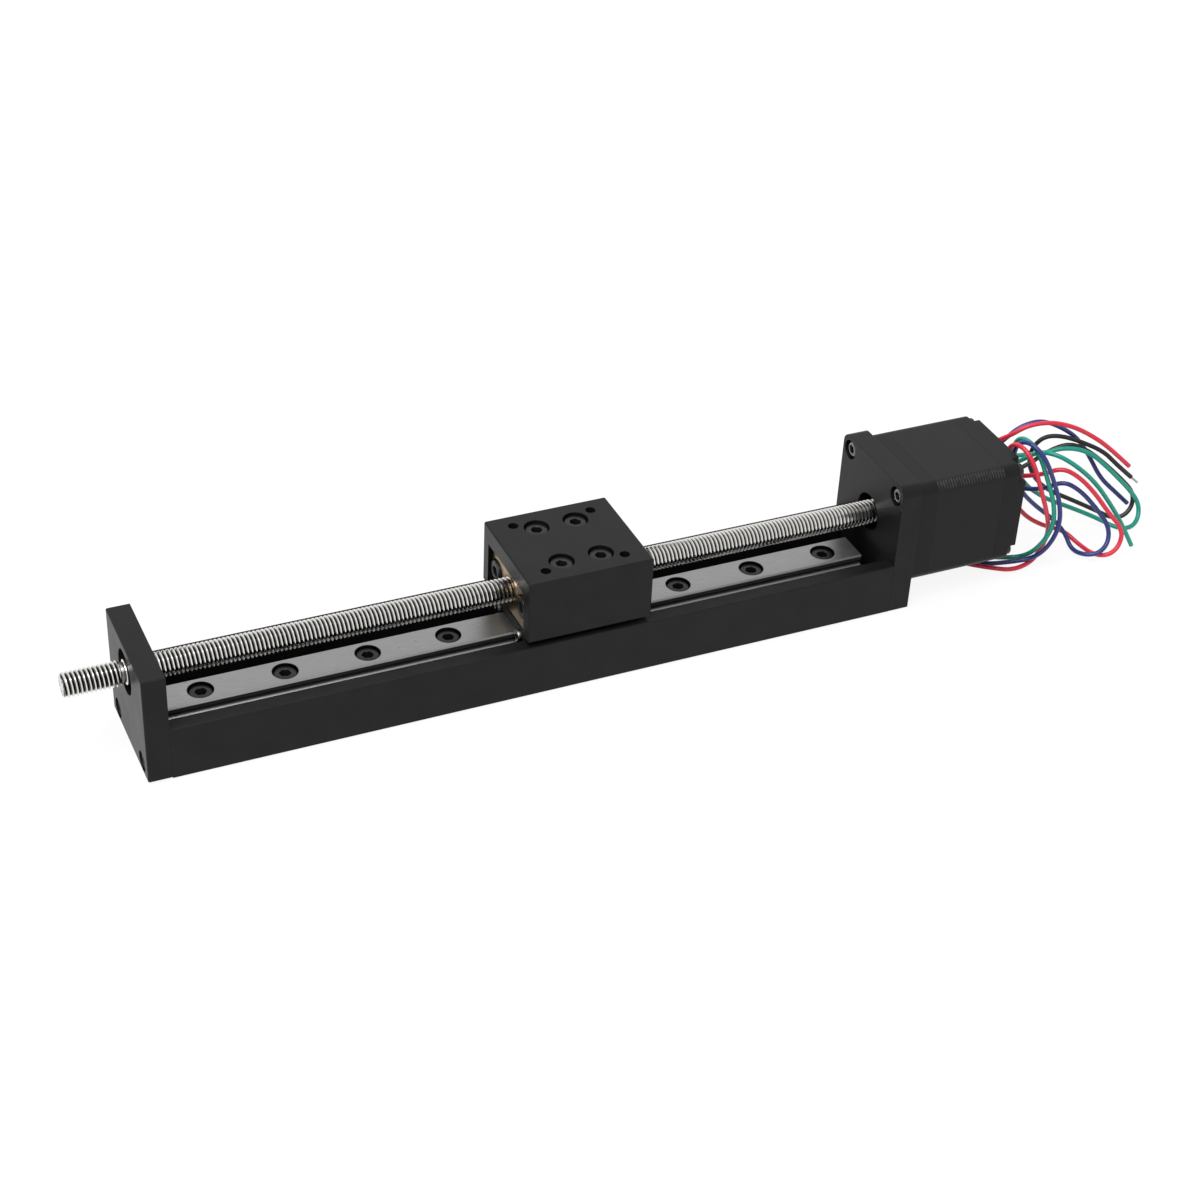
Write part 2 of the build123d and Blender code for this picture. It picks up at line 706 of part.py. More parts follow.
def lead_parts():
    """The four wires by colour, with a line on each one's bends and volume."""
    tubes = {}
    for colour, points in LEAD_ROUTES.items():
        tube, radii, length = lead_tube(points)
        expected = pi * (lead_diameter / 2) ** 2 * length
        print(f"lead_{colour}: {length:.1f} mm, smallest radius {min(radii):.1f} mm, "
              f"volume {tube.volume / expected:.3f} of section times length")
        tubes[colour] = tube
    return tubes


def lead_tip():
    """The tinned end of the black wire."""
    before, end = [Vector(*p) for p in LEAD_ROUTES["black"][-2:]]
    return extrude(Plane(origin=end, z_dir=end - before) * Circle(lead_tip_r), lead_tip_length)


def main():
    save("base_channel", base_channel())
    save("guide_rail", guide_rail())
    save("rail_screws", rail_screws())
    save("end_plate", end_plate())
    save("end_plate_screws", end_plate_screws())
    outer, inner, balls = bearing_parts(
        -base_end - bearing_width, bearing_width, bearing_outer_r, bearing_bore_r,
        bearing_race, bearing_ball_r, bearing_ball_count)
    save("support_bearing_outer", outer)
    save("support_bearing_inner", inner)
    save("support_bearing_balls", balls)
    save("lead_screw", lead_screw())
    save("motor_bracket", motor_bracket())
    save("bracket_screws", bracket_screws())
    save("motor_screws", motor_screws())
    save("motor_front_bell", motor_front_bell_part())
    save("motor_stator", motor_stator())
    save("motor_rear_bell", motor_rear_bell_part())
    save("motor_case_screws", motor_case_screws())
    save("motor_rotor", motor_rotor())
    save("motor_coils", motor_coils())
    places = {
        "front": motor_front + motor_bell_wall,
        "rear": motor_end - motor_bell_wall - motor_bearing_width}
    for place, start in places.items():
        race = (motor_bearing_outer_r - motor_bearing_bore_r) / 3
        outer, inner, balls = bearing_parts(
            start, motor_bearing_width, motor_bearing_outer_r, motor_bearing_bore_r,
            race, race * 0.62, bearing_ball_count)
        save(f"motor_{place}_bearing_outer", outer)
        save(f"motor_{place}_bearing_inner", inner)
        save(f"motor_{place}_bearing_balls", balls)
    save("lead_grommet", lead_grommet())
    for colour, tube in lead_parts().items():
        save(f"lead_{colour}", tube)
    save("lead_tips", lead_tip())
    save("slide_block", slide_block())
    save("slide_block_screws", slide_block_screws())
    save("lead_nut", lead_nut())
    save("nut_screws", nut_screws())
    save("guide_block", guide_block())
    save("end_cap_left", cap_side(-1))
    save("end_cap_right", cap_side(1))
    save("end_seal_left", seal_side(-1))
    save("end_seal_right", seal_side(1))
    save("cap_screws", cap_screws())
    save("guide_balls", guide_balls())


main()
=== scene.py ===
"""Dresses the linear slide table: finishes, bevelled metalwork, threads, fasteners and motor leads.

Sizes and places are written in millimetres, and are turned to metres where a mesh is made.
+X runs along the rail towards the motor and +Z points up out of the slide block.
"""

import json
import logging
import math
from dataclasses import dataclass, field
from enum import Enum
from typing import Callable, Iterable, Sequence

import bmesh
import bpy
from mathutils import Matrix, Vector

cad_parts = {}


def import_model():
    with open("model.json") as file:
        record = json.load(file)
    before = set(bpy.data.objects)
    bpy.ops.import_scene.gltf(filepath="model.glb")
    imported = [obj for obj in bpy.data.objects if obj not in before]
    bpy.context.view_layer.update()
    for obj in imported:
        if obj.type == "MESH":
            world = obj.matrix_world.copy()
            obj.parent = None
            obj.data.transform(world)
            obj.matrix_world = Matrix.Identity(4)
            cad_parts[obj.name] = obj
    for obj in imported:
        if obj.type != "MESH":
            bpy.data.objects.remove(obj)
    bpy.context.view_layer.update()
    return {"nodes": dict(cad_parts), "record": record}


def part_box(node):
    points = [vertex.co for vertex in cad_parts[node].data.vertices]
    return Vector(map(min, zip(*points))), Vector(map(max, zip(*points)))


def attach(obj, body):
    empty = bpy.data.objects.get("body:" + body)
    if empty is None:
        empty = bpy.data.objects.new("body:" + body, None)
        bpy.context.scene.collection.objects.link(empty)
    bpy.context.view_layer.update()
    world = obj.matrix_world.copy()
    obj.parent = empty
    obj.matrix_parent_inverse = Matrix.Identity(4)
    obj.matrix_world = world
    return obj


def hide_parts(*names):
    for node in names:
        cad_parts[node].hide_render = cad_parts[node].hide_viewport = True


MM = 0.001
FULL_TURN = 2 * math.pi
SIXTH_TURN = math.pi / 3
WELD = 0.002
SHARP_ANGLE = 30.0
ROUNDED_ANGLE = 50.0
WHITE = (1.0, 1.0, 1.0, 1.0)
# The thread's height share, which the thread's material uses to paint shade into the roots.
CREST = "crest"
LOG = logging.getLogger("slide_table")

Point = tuple[float, float, float]
Colour = tuple[float, float, float]
Box = tuple[Vector, Vector]
Socket = bpy.types.NodeSocket


class Body(Enum):
    """The bodies of the model that a piece can ride on."""

    BASE = "base"
    SCREW = "screw"
    CARRIAGE = "carriage"


class Grain(Enum):
    """How a finish's fine marks lie, as a stretch of the noise along X, Y and Z."""

    EVEN = (1.0, 1.0, 1.0)
    ALONG_X = (0.03, 1.0, 1.0)
    ACROSS_X = (1.0, 0.05, 0.05)


class Direction(Enum):
    """The way that a fastener's head looks."""

    UP = (0.0, 0.0, 1.0)
    LEFT = (-1.0, 0.0, 0.0)
    RIGHT = (1.0, 0.0, 0.0)

    @property
    def axis(self) -> int:
        """The number of the axis that the fastener lies along."""
        return max(range(3), key=lambda i: abs(self.value[i]))


class Lead(Enum):
    """The four motor leads."""

    RED = "red"
    GREEN = "green"
    BLUE = "blue"
    BLACK = "black"


def live(sockets: Iterable[Socket], name: str | None = None) -> Socket:
    """The first socket in use, among those that a node's data type hides or shows.

    Args:
        sockets: The node's inputs or outputs.
        name: The socket's name, or None for any.

    Returns:
        The socket.
    """
    return next(s for s in sockets if s.enabled and name in (None, s.name))


class NodeMaker:
    """Adds nodes to a tree and joins them."""

    def __init__(self, tree: bpy.types.NodeTree) -> None:
        """Takes the tree to add to."""
        self.tree = tree

    def add(self, kind: str, inputs: dict | None = None, **settings: object) -> bpy.types.Node:
        """Adds one node.

        Args:
            kind: The node's type name.
            inputs: Values or sockets for its inputs, by name or number.
            **settings: Its other properties.

        Returns:
            The new node.
        """
        node = self.tree.nodes.new(kind)
        for key, value in settings.items():
            setattr(node, key, value)
        for key, value in (inputs or {}).items():
            self.give(node.inputs[key], value)
        return node

    def give(self, socket: Socket, value: object) -> None:
        """Gives an input its value, or joins another node's output to it.

        Args:
            socket: The input.
            value: A plain value or an output socket.
        """
        if isinstance(value, Socket):
            self.tree.links.new(value, socket)
        else:
            socket.default_value = value

    def math(self, operation: str, first: Socket | float, second: Socket | float = 0.0) -> Socket:
        """Adds one sum.

        Args:
            operation: The kind of sum.
            first: Its first term.
            second: Its second term, where it has one.

        Returns:
            The result.
        """
        return self.add("ShaderNodeMath", {0: first, 1: second}, operation=operation).outputs[0]


class Paint(NodeMaker):
    """A material under construction, with one main shader."""

    def __init__(self, name: str) -> None:
        """Starts an empty material with one main shader.

        Args:
            name: The material's name.
        """
        self.material = bpy.data.materials.new(name)
        self.material.use_nodes = True
        super().__init__(self.material.node_tree)
        self.tree.nodes.clear()
        self.shader = self.add("ShaderNodeBsdfPrincipled")
        self.add("ShaderNodeOutputMaterial", {"Surface": self.shader.outputs[0]})
        self.place = self.add("ShaderNodeTexCoord").outputs["Object"]

    def set(self, **values: float | Socket) -> None:
        """Sets the main shader's inputs.

        Args:
            **values: Numbers or sockets, with underscores for the spaces in the inputs' names.
        """
        for key, value in values.items():
            self.give(self.shader.inputs[key.replace("_", " ")], value)

    def noise(self, per_mm: float, grain: Grain = Grain.EVEN, detail: float = 3.0) -> Socket:
        """Adds noise over the piece.

        Args:
            per_mm: Marks in one millimetre.
            grain: How the marks lie.
            detail: The noise's octaves.

        Returns:
            The noise, from 0 to 1.
        """
        stretched = self.add("ShaderNodeMapping", {"Vector": self.place, "Scale": grain.value})
        inputs = {"Vector": stretched.outputs[0], "Scale": per_mm / MM, "Detail": detail}
        return self.add("ShaderNodeTexNoise", inputs).outputs[0]

    def ranged(self, value: Socket, low: float = 0.0, high: float = 1.0, start: float = 0.3,
               end: float = 0.7) -> Socket:
        """Maps a value from one range to another, and keeps it there.

        Args:
            value: The value.
            low: What the start becomes.
            high: What the end becomes.
            start: The lower end of the value's own range.
            end: The upper end of the value's own range.

        Returns:
            The mapped value.
        """
        inputs = {"Value": value, 1: start, 2: end, 3: low, 4: high}
        return self.add("ShaderNodeMapRange", inputs).outputs[0]

    def reach(self, first: Socket, second: Socket) -> Socket:
        """The distance from an axis, by the two distances across it.

        Args:
            first: The distance one way.
            second: The distance square to it.

        Returns:
            The distance.
        """
        squares = [self.math("MULTIPLY", side, side) for side in (first, second)]
        return self.math("SQRT", self.math("ADD", *squares))

    def blend(self, share: Socket, low: Colour | Socket, high: Colour | Socket) -> Socket:
        """Mixes two colours.

        Args:
            share: The second colour's share, from 0 to 1.
            low: The first colour.
            high: The second colour.

        Returns:
            The mixed colour.
        """
        node = self.add("ShaderNodeMix", data_type="RGBA")
        self.give(live(node.inputs, "Factor"), share)
        for name, colour in (("A", low), ("B", high)):
            plain = colour if isinstance(colour, Socket) else (*colour, 1.0)
            self.give(live(node.inputs, name), plain)
        return live(node.outputs)

    def bump(self, height: Socket, strength: float, depth: float) -> None:
        """Raises the surface by a height map.

        Args:
            height: The height, from 0 to 1.
            strength: The share of the effect.
            depth: The depth of the relief.
        """
        inputs = {"Height": height, "Strength": strength, "Distance": depth * MM}
        self.set(Normal=self.add("ShaderNodeBump", inputs).outputs[0])


@dataclass(frozen=True)
class Finish:
    """A plain surface whose tone, gloss and relief all vary a little.

    Attributes:
        name: The material's name.
        dark: The darkest tone.
        light: The lightest tone.
        metallic: 1 for bare metal.
        roughness: The lowest and highest roughness.
        specular: The strength of the surface's gloss.
        grain: How its fine marks lie.
        per_mm: Fine marks in one millimetre.
        relief: The depth of the fine marks.
    """

    BROAD_SCALE = 0.03
    BROAD_DETAIL = 2.0
    FINE_SHARE = 0.6
    RELIEF_STRENGTH = 0.6

    name: str
    dark: Colour
    light: Colour
    metallic: float = 0.0
    roughness: tuple[float, float] = (0.35, 0.5)
    specular: float = 0.5
    grain: Grain = Grain.EVEN
    per_mm: float = 4.0
    relief: float = 0.01

    def start(self) -> Paint:
        """Starts the finish's material.

        Returns:
            The material with its tone, gloss and fine marks, open to more nodes.
        """
        paint = Paint(self.name)
        paint.set(Metallic=self.metallic, Specular_IOR_Level=self.specular)
        fine = paint.noise(self.per_mm, self.grain)
        broad = paint.noise(self.per_mm * self.BROAD_SCALE, self.grain, self.BROAD_DETAIL)
        paint.set(Base_Color=paint.blend(paint.ranged(broad), self.dark, self.light))
        mixed = paint.math("ADD", paint.math("MULTIPLY", fine, self.FINE_SHARE),
                           paint.math("MULTIPLY", broad, 1.0 - self.FINE_SHARE))
        paint.set(Roughness=paint.ranged(mixed, *self.roughness))
        paint.bump(fine, self.RELIEF_STRENGTH, self.relief)
        return paint

    def material(self) -> bpy.types.Material:
        """The finished material."""
        return self.start().material


@dataclass(frozen=True)
class GroundSteel(Finish):
    """Ground steel with lines along the rail, rougher sides darkened with painted shade, a few dark specks
    and painted shade in the screw holes.

    Attributes:
        first_hole: The place of a screw hole along the rail.
        pitch: The distance between the holes.
        hole_r: The radius round a hole's middle that gets painted shade.
        below: The height under which the holes get painted shade.
        hole_shade_and_speck_tone: The tone of the painted shade in the holes and of the specks.
        side_shade_tone: The tone of the painted shade on the sides.
        side_roughness: What the sides add to the roughness.
        side_limits: How far a face looks sideways where the sides' painted shade and added roughness start
            and are whole.
        speck_per_mm: The noise of the specks, in one millimetre.
        speck_strength: How dark the specks are.
        speck_limits: The noise where a speck starts and is whole.
    """

    LINE_DETAIL = 4.0

    first_hole: float = -80.3
    pitch: float = 20.0
    hole_r: float = 3.12
    below: float = 11.1
    hole_shade_and_speck_tone: Colour = (0.02, 0.02, 0.02)
    side_shade_tone: Colour = (0.12, 0.12, 0.122)
    side_roughness: float = 0.22
    side_limits: tuple[float, float] = (0.3, 0.9)
    speck_per_mm: float = 0.9
    speck_strength: float = 0.45
    speck_limits: tuple[float, float] = (0.70, 0.76)

    def hole_shade_and_speck_share(self, paint: Paint) -> Socket:
        """Finds the screw holes, which get painted shade, and the dark specks.

        Args:
            paint: The material under construction.

        Returns:
            1 in the holes, less in the specks, 0 elsewhere.
        """
        x, y, z = paint.add("ShaderNodeSeparateXYZ", {"Vector": paint.place}).outputs
        from_start = paint.math("SUBTRACT", x, (self.first_hole - self.pitch / 2) * MM)
        step = paint.math("FRACT", paint.math("DIVIDE", from_start, self.pitch * MM))
        along = paint.math("MULTIPLY", paint.math("SUBTRACT", step, 0.5), self.pitch * MM)
        near = paint.math("LESS_THAN", paint.reach(along, y), self.hole_r * MM)
        # Painted shade inside the screw holes, under the rail's top.
        inside = paint.math("MULTIPLY", near, paint.math("LESS_THAN", z, self.below * MM))
        speck = paint.ranged(paint.noise(self.speck_per_mm), 0.0, self.speck_strength, *self.speck_limits)
        return paint.math("MAXIMUM", inside, speck)

    def material(self) -> bpy.types.Material:
        """Makes the material.

        Returns:
            The finished material.
        """
        paint = self.start()
        lines = paint.noise(self.per_mm, Grain.ALONG_X, self.LINE_DETAIL)
        tone = paint.blend(paint.ranged(lines), self.dark, self.light)
        normal = paint.add("ShaderNodeNewGeometry").outputs["True Normal"]
        sideways = paint.add("ShaderNodeSeparateXYZ", {"Vector": normal}).outputs[1]
        side = paint.ranged(paint.math("ABSOLUTE", sideways), 0.0, 1.0, *self.side_limits)
        # Painted shade: faces that look sideways get a darker tone.
        side_shaded = paint.blend(side, tone, self.side_shade_tone)
        # Painted shade in the screw holes, and dark specks, over the rail's tone.
        paint.set(Base_Color=paint.blend(self.hole_shade_and_speck_share(paint), side_shaded, self.hole_shade_and_speck_tone))
        duller = paint.math("MULTIPLY", side, self.side_roughness)
        paint.set(Roughness=paint.math("ADD", paint.ranged(lines, *self.roughness), duller))
        return paint.material


@dataclass(frozen=True)
class ThreadSteel(Finish):
    """Bright rolled, polished thread whose roots are darkened with painted shade and some grease.

    Attributes:
        root: The tone of the painted shade, with some grease, in the roots.
        flank: The share of the thread's height where the painted root shade fades out and where the bright
            tone is whole.
    """

    root: Colour = (0.022, 0.021, 0.020)
    flank: tuple[float, float] = (0.12, 0.8)

    def material(self) -> bpy.types.Material:
        """Makes the material.

        Returns:
            The finished material.
        """
        paint = self.start()
        crest = paint.add("ShaderNodeAttribute", attribute_name=CREST).outputs["Fac"]
        share = paint.ranged(crest, 0.0, 1.0, *self.flank)
        # Painted shade, with some grease: the roots go dark and the crests keep the bright tone.
        paint.set(Base_Color=paint.blend(share, self.root, self.light))
        return paint.material


@dataclass(frozen=True)
class Laminations(Finish):
    """Painted stator stack whose sheet edges show on its rounded corners.

    Attributes:
        axis_z: The height of the motor's axis.
        corner_r: The distance from the axis where the corners start.
        corner_width: The distance over which the sheet edges fade in.
        sheets_per_mm: Sheet edges in one millimetre.
        worn: The tone of the worn edges.
        worn_limits: The height of an edge where the wear starts and is whole.
        patch_per_mm: The noise that makes the edges uneven, in one millimetre.
        patch_strength: How strongly it does so.
        fine_share: The share of the paint's own relief.
        sheet_strength: The strength of the relief.
        sheet_depth: The depth of the relief.
    """

    axis_z: float = 20.5
    corner_r: float = 18.25
    corner_width: float = 0.35
    sheets_per_mm: float = 1.3
    worn: Colour = (0.032, 0.032, 0.032)
    worn_limits: tuple[float, float] = (0.25, 0.75)
    patch_per_mm: float = 0.8
    patch_strength: float = 1.4
    fine_share: float = 0.15
    sheet_strength: float = 0.9
    sheet_depth: float = 0.2

    def material(self) -> bpy.types.Material:
        """Makes the material.

        Returns:
            The finished material.
        """
        paint = self.start()
        x, y, z = paint.add("ShaderNodeSeparateXYZ", {"Vector": paint.place}).outputs
        reach = paint.reach(y, paint.math("SUBTRACT", z, self.axis_z * MM))
        full = self.corner_r + self.corner_width
        corner = paint.ranged(reach, 0.0, 1.0, self.corner_r * MM, full * MM)
        wave = paint.math("SINE", paint.math("MULTIPLY", x, FULL_TURN * self.sheets_per_mm / MM))
        raised = paint.math("ADD", paint.math("MULTIPLY", wave, 0.5), 0.5)
        uneven = paint.math("MULTIPLY", paint.noise(self.patch_per_mm), self.patch_strength)
        edges = paint.math("MULTIPLY", paint.math("MULTIPLY", raised, uneven), corner)
        worn = paint.ranged(edges, 0.0, 1.0, *self.worn_limits)
        paint.set(Base_Color=paint.blend(worn, self.light, self.worn))
        fine = paint.math("MULTIPLY", paint.noise(self.per_mm), self.fine_share)
        paint.bump(paint.math("ADD", edges, fine), self.sheet_strength, self.sheet_depth)
        return paint.material


@dataclass(frozen=True)
class Insulation(Finish):
    """Glossy wire insulation, a little uneven in tone and thickness.

    Attributes:
        roughness: The lowest and highest roughness, lower than a plain finish's.
        specular: The strength of the insulation's gloss.
        per_mm: Fine marks in one millimetre.
        ripple_per_mm: The uneven thickness, in one millimetre.
        ripple_strength: The strength of its relief.
        ripple_depth: The depth of its relief.
    """

    RIPPLE_DETAIL = 2.0

    roughness: tuple[float, float] = (0.28, 0.4)
    specular: float = 0.4
    per_mm: float = 0.6
    ripple_per_mm: float = 0.5
    ripple_strength: float = 0.4
    ripple_depth: float = 0.05

    def material(self) -> bpy.types.Material:
        """Makes the material.

        Returns:
            The finished material.
        """
        paint = self.start()
        ripple = paint.noise(self.ripple_per_mm, Grain.EVEN, self.RIPPLE_DETAIL)
        paint.bump(ripple, self.ripple_strength, self.ripple_depth)
        return paint.material


MOTOR_PAINT = {"dark": (0.0042, 0.0042, 0.0044), "light": (0.0064, 0.0064, 0.0066),
               "roughness": (0.38, 0.5), "specular": 0.165, "relief": 0.006}
SOFT_BLACK = {"dark": (0.008, 0.008, 0.008), "light": (0.014, 0.014, 0.014)}
FINISHES: dict[str, Finish] = {finish.name: finish for finish in (
    Finish("anodised_black", (0.0045, 0.0045, 0.0047), (0.0068, 0.0068, 0.0070),
           roughness=(0.34, 0.44), specular=0.17, per_mm=5.0, relief=0.005),
    GroundSteel("ground_steel", (0.27, 0.27, 0.272), (0.38, 0.38, 0.38), metallic=1.0,
                roughness=(0.3, 0.42), grain=Grain.ALONG_X, per_mm=9.0, relief=0.004),
    Finish("black_oxide", (0.006, 0.006, 0.006), (0.012, 0.012, 0.012),
           roughness=(0.26, 0.4), specular=0.32, per_mm=3.0, relief=0.006),
    Finish("bearing_steel", (0.10, 0.10, 0.105), (0.17, 0.17, 0.175), metallic=1.0,
           roughness=(0.25, 0.36)),
    ThreadSteel("screw_steel", (0.4, 0.39, 0.38), (0.76, 0.75, 0.73), metallic=1.0,
                roughness=(0.12, 0.22), grain=Grain.ACROSS_X, per_mm=3.0, relief=0.004),
    Finish("zinc_steel", (0.14, 0.14, 0.137), (0.23, 0.23, 0.225), metallic=1.0,
           roughness=(0.2, 0.35), per_mm=2.5, relief=0.006),
    Finish("motor_black", **MOTOR_PAINT),
    Laminations("motor_lamination", **MOTOR_PAINT),
    Finish("rotor_steel", (0.2, 0.2, 0.21), (0.32, 0.32, 0.33), metallic=1.0,
           roughness=(0.35, 0.5), grain=Grain.ACROSS_X, per_mm=2.0, relief=0.02),
    Finish("copper_coil", (0.38, 0.15, 0.06), (0.55, 0.24, 0.1), metallic=1.0,
           roughness=(0.25, 0.4), grain=Grain.ACROSS_X, per_mm=2.0, relief=0.03),
    Finish("brass", (0.31, 0.215, 0.115), (0.46, 0.33, 0.185), metallic=1.0,
           roughness=(0.24, 0.38), per_mm=1.5, relief=0.008),
    Finish("cap_plastic", **SOFT_BLACK, roughness=(0.4, 0.55), specular=0.35),
    Finish("seal_rubber", **SOFT_BLACK, roughness=(0.55, 0.7), specular=0.3),
    Insulation("wire_red", (0.48, 0.012, 0.034), (0.62, 0.02, 0.05)),
    Insulation("wire_green", (0.0, 0.19, 0.135), (0.004, 0.27, 0.195)),
    Insulation("wire_blue", (0.010, 0.018, 0.11), (0.018, 0.030, 0.17)),
    Insulation("wire_black", (0.006, 0.006, 0.006), (0.011, 0.011, 0.011)),
    Finish("tinned_copper", (0.36, 0.34, 0.31), (0.54, 0.52, 0.48), metallic=1.0,
           roughness=(0.25, 0.4)),
)}


def shown_mesh(source: bpy.types.Object) -> bpy.types.Mesh:
    """The mesh of an object with its modifiers applied; the object is then removed.

    Args:
        source: The object.

    Returns:
        A plain mesh.
    """
    bpy.context.view_layer.update()
    shown = source.evaluated_get(bpy.context.evaluated_depsgraph_get())
    mesh = bpy.data.meshes.new_from_object(shown)
    bpy.data.objects.remove(source)
    return mesh


def placed(data: bpy.types.ID, name: str) -> bpy.types.Object:
    """Puts a mesh, curve, lamp or camera in the scene.

    Args:
        data: The mesh, curve, lamp or camera.
        name: The new object's name.

    Returns:
        The object.
    """
    made = bpy.data.objects.new(name, data)
    bpy.context.scene.collection.objects.link(made)
    return made


def smooth(mesh: bpy.types.Mesh, degrees: float = SHARP_ANGLE) -> bpy.types.Mesh:
    """Shades a mesh smooth, apart from its sharp edges.

    Args:
        mesh: The mesh.
        degrees: The angle from which an edge is sharp.

    Returns:
        The same mesh.
    """
    mesh.shade_smooth()
    mesh.set_sharp_from_angle(angle=math.radians(degrees))
    return mesh


def mesh_from(bm: bmesh.types.BMesh, name: str) -> bpy.types.Mesh:
    """Turns a bmesh into a mesh and frees it.

    Args:
        bm: The bmesh.
        name: The new mesh's name.

    Returns:
        The mesh.
    """
    mesh = bpy.data.meshes.new(name)
    bm.to_mesh(mesh)
    bm.free()
    return mesh


def bridge(bm: bmesh.types.BMesh, first: Sequence[bmesh.types.BMVert],
           second: Sequence[bmesh.types.BMVert]) -> None:
    """Joins two closed rings of as many points with quads.

    Args:
        bm: The mesh being built.
        first: One ring.
        second: The other ring.
    """
    count = len(first)
    for i in range(count):
        j = (i + 1) % count
        bm.faces.new((first[i], first[j], second[j], second[i]))


@dataclass
class Workshop:
    """What every sub-assembly shares: the frame's nodes and the finished materials.

    Attributes:
        nodes: The model's nodes by name.
        slots: Each node's material slot.
        materials: The materials made so far, by slot.
    """

    nodes: dict[str, bpy.types.Object]
    slots: dict[str, str]
    materials: dict[str, bpy.types.Material] = field(default_factory=dict)

    def finish(self, slot: str) -> bpy.types.Material:
        """The material of a slot, made once.

        Args:
            slot: The slot's name.

        Returns:
            The material.
        """
        if slot not in self.materials:
            self.materials[slot] = FINISHES[slot].material()
        return self.materials[slot]

    def paint_nodes(self) -> None:
        """Gives each node of the model its finish."""
        for name, node in self.nodes.items():
            node.data.materials.clear()
            node.data.materials.append(self.finish(self.slots[name]))
            smooth(node.data)

    def declare(self, data: bpy.types.ID, node: str, body: Body) -> bpy.types.Object:
        """Makes one finished piece, which stands for a node.

        Args:
            data: The piece's mesh or curve, in place.
            node: The node's name.
            body: The body that it moves with.

        Returns:
            The piece.
        """
        slot = self.slots[node]
        data.materials.clear()
        data.materials.append(self.finish(slot))
        piece = placed(data, "dressed_" + node)
        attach(piece, body.value)
        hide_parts(node)
        LOG.info("%s is ready on %s", piece.name, body.value)
        return piece

    def merged(self, node: str) -> bmesh.types.BMesh:
        """A node's mesh with its loose triangles joined.

        Args:
            node: The node's name.

        Returns:
            The mesh as a bmesh.
        """
        bm = bmesh.new()
        bm.from_mesh(self.nodes[node].data)
        bmesh.ops.remove_doubles(bm, verts=bm.verts, dist=WELD * MM)
        return bm


class NodeTool(NodeMaker):
    """A Geometry Nodes tree with named inputs, which runs on a carrier and leaves one mesh."""

    NAME = "tool"
    INPUTS: dict[str, str] = {}

    def __init__(self) -> None:
        """Builds the tree and keeps its inputs' identifiers."""
        super().__init__(bpy.data.node_groups.new(self.NAME, "GeometryNodeTree"))
        side = self.tree.interface
        side.new_socket("Geometry", in_out="OUTPUT", socket_type="NodeSocketGeometry")
        side.new_socket("Geometry", in_out="INPUT", socket_type="NodeSocketGeometry")
        self.inputs = {
            name: side.new_socket(name, in_out="INPUT", socket_type="NodeSocket" + kind).identifier
            for name, kind in self.INPUTS.items()}
        self.join()

    def join(self) -> None:
        """Adds the tree's own nodes and joins them."""
        raise NotImplementedError

    def close(self, shape: Socket, finish: Socket) -> None:
        """Ends the tree: makes the shape real and gives it its material.

        Args:
            shape: The finished shape.
            finish: The material.
        """
        real = self.add("GeometryNodeRealizeInstances", {"Geometry": shape})
        dress = self.add("GeometryNodeSetMaterial", {"Geometry": real.outputs[0], "Material": finish})
        self.add("NodeGroupOutput", {"Geometry": dress.outputs[0]})

    def run(self, mesh: bpy.types.Mesh, values: dict[str, object]) -> bpy.types.Mesh:
        """Runs the tree.

        Args:
            mesh: The mesh that it starts from.
            values: Its inputs by name, with lengths in metres.

        Returns:
            The mesh that it leaves.
        """
        carrier = placed(mesh, self.NAME + "_carrier")
        modifier = carrier.modifiers.new(self.NAME, "NODES")
        modifier.node_group = self.tree
        for name, value in values.items():
            modifier[self.inputs[name]] = value
        return shown_mesh(carrier)


@dataclass
class Metalwork:
    """The housings and plates, with their edges broken as the real ones are.

    Attributes:
        edges: The bevel's width and the body, for each node.
    """

    FLAT_ANGLE = 0.4
    BEVEL_ANGLE = 32.0
    SEGMENTS = 2
    FLAT_WEIGHT = 90

    edges: dict[str, tuple[float, Body]] = field(default_factory=lambda: {
        "base_channel": (0.12, Body.BASE),
        "guide_rail": (0.12, Body.BASE),
        "end_plate": (0.08, Body.BASE),
        "motor_bracket": (0.1, Body.BASE),
        "motor_front_bell": (0.05, Body.BASE),
        "motor_stator": (0.05, Body.BASE),
        "motor_rear_bell": (0.08, Body.BASE),
        "lead_grommet": (0.15, Body.BASE),
        "slide_block": (0.1, Body.CARRIAGE),
        "lead_nut": (0.12, Body.CARRIAGE),
        "guide_block": (0.1, Body.CARRIAGE),
        "end_cap_left": (0.2, Body.CARRIAGE),
        "end_cap_right": (0.2, Body.CARRIAGE),
        "end_seal_left": (0.1, Body.CARRIAGE),
        "end_seal_right": (0.1, Body.CARRIAGE),
    })

    def bevelled(self, shop: Workshop, node: str, width: float) -> bpy.types.Mesh:
        """A node's mesh with its sharp edges broken.

        Args:
            shop: The shared workshop.
            node: The node's name.
            width: The bevel's width.

        Returns:
            The bevelled mesh.
        """
        bm = shop.merged(node)
        flat = math.radians(self.FLAT_ANGLE)
        bmesh.ops.dissolve_limit(bm, angle_limit=flat, verts=bm.verts, edges=bm.edges)
        carrier = placed(mesh_from(bm, node + "_dressed"), "bevelled")
        bevel = carrier.modifiers.new("broken_edges", "BEVEL")
        bevel.width = width * MM
        bevel.segments = self.SEGMENTS
        bevel.limit_method = "ANGLE"
        bevel.angle_limit = math.radians(self.BEVEL_ANGLE)
        bevel.use_clamp_overlap = True
        carrier = placed(smooth(shown_mesh(carrier), ROUNDED_ANGLE), "flattened")
        weighted = carrier.modifiers.new("flat_faces_first", "WEIGHTED_NORMAL")
        weighted.weight = self.FLAT_WEIGHT
        weighted.keep_sharp = True
        return shown_mesh(carrier)

    def build(self, shop: Workshop) -> None:
        """Makes every bevelled piece.

        Args:
            shop: The shared workshop.
        """
        for node, (width, body) in self.edges.items():
            shop.declare(self.bevelled(shop, node, width), node, body)


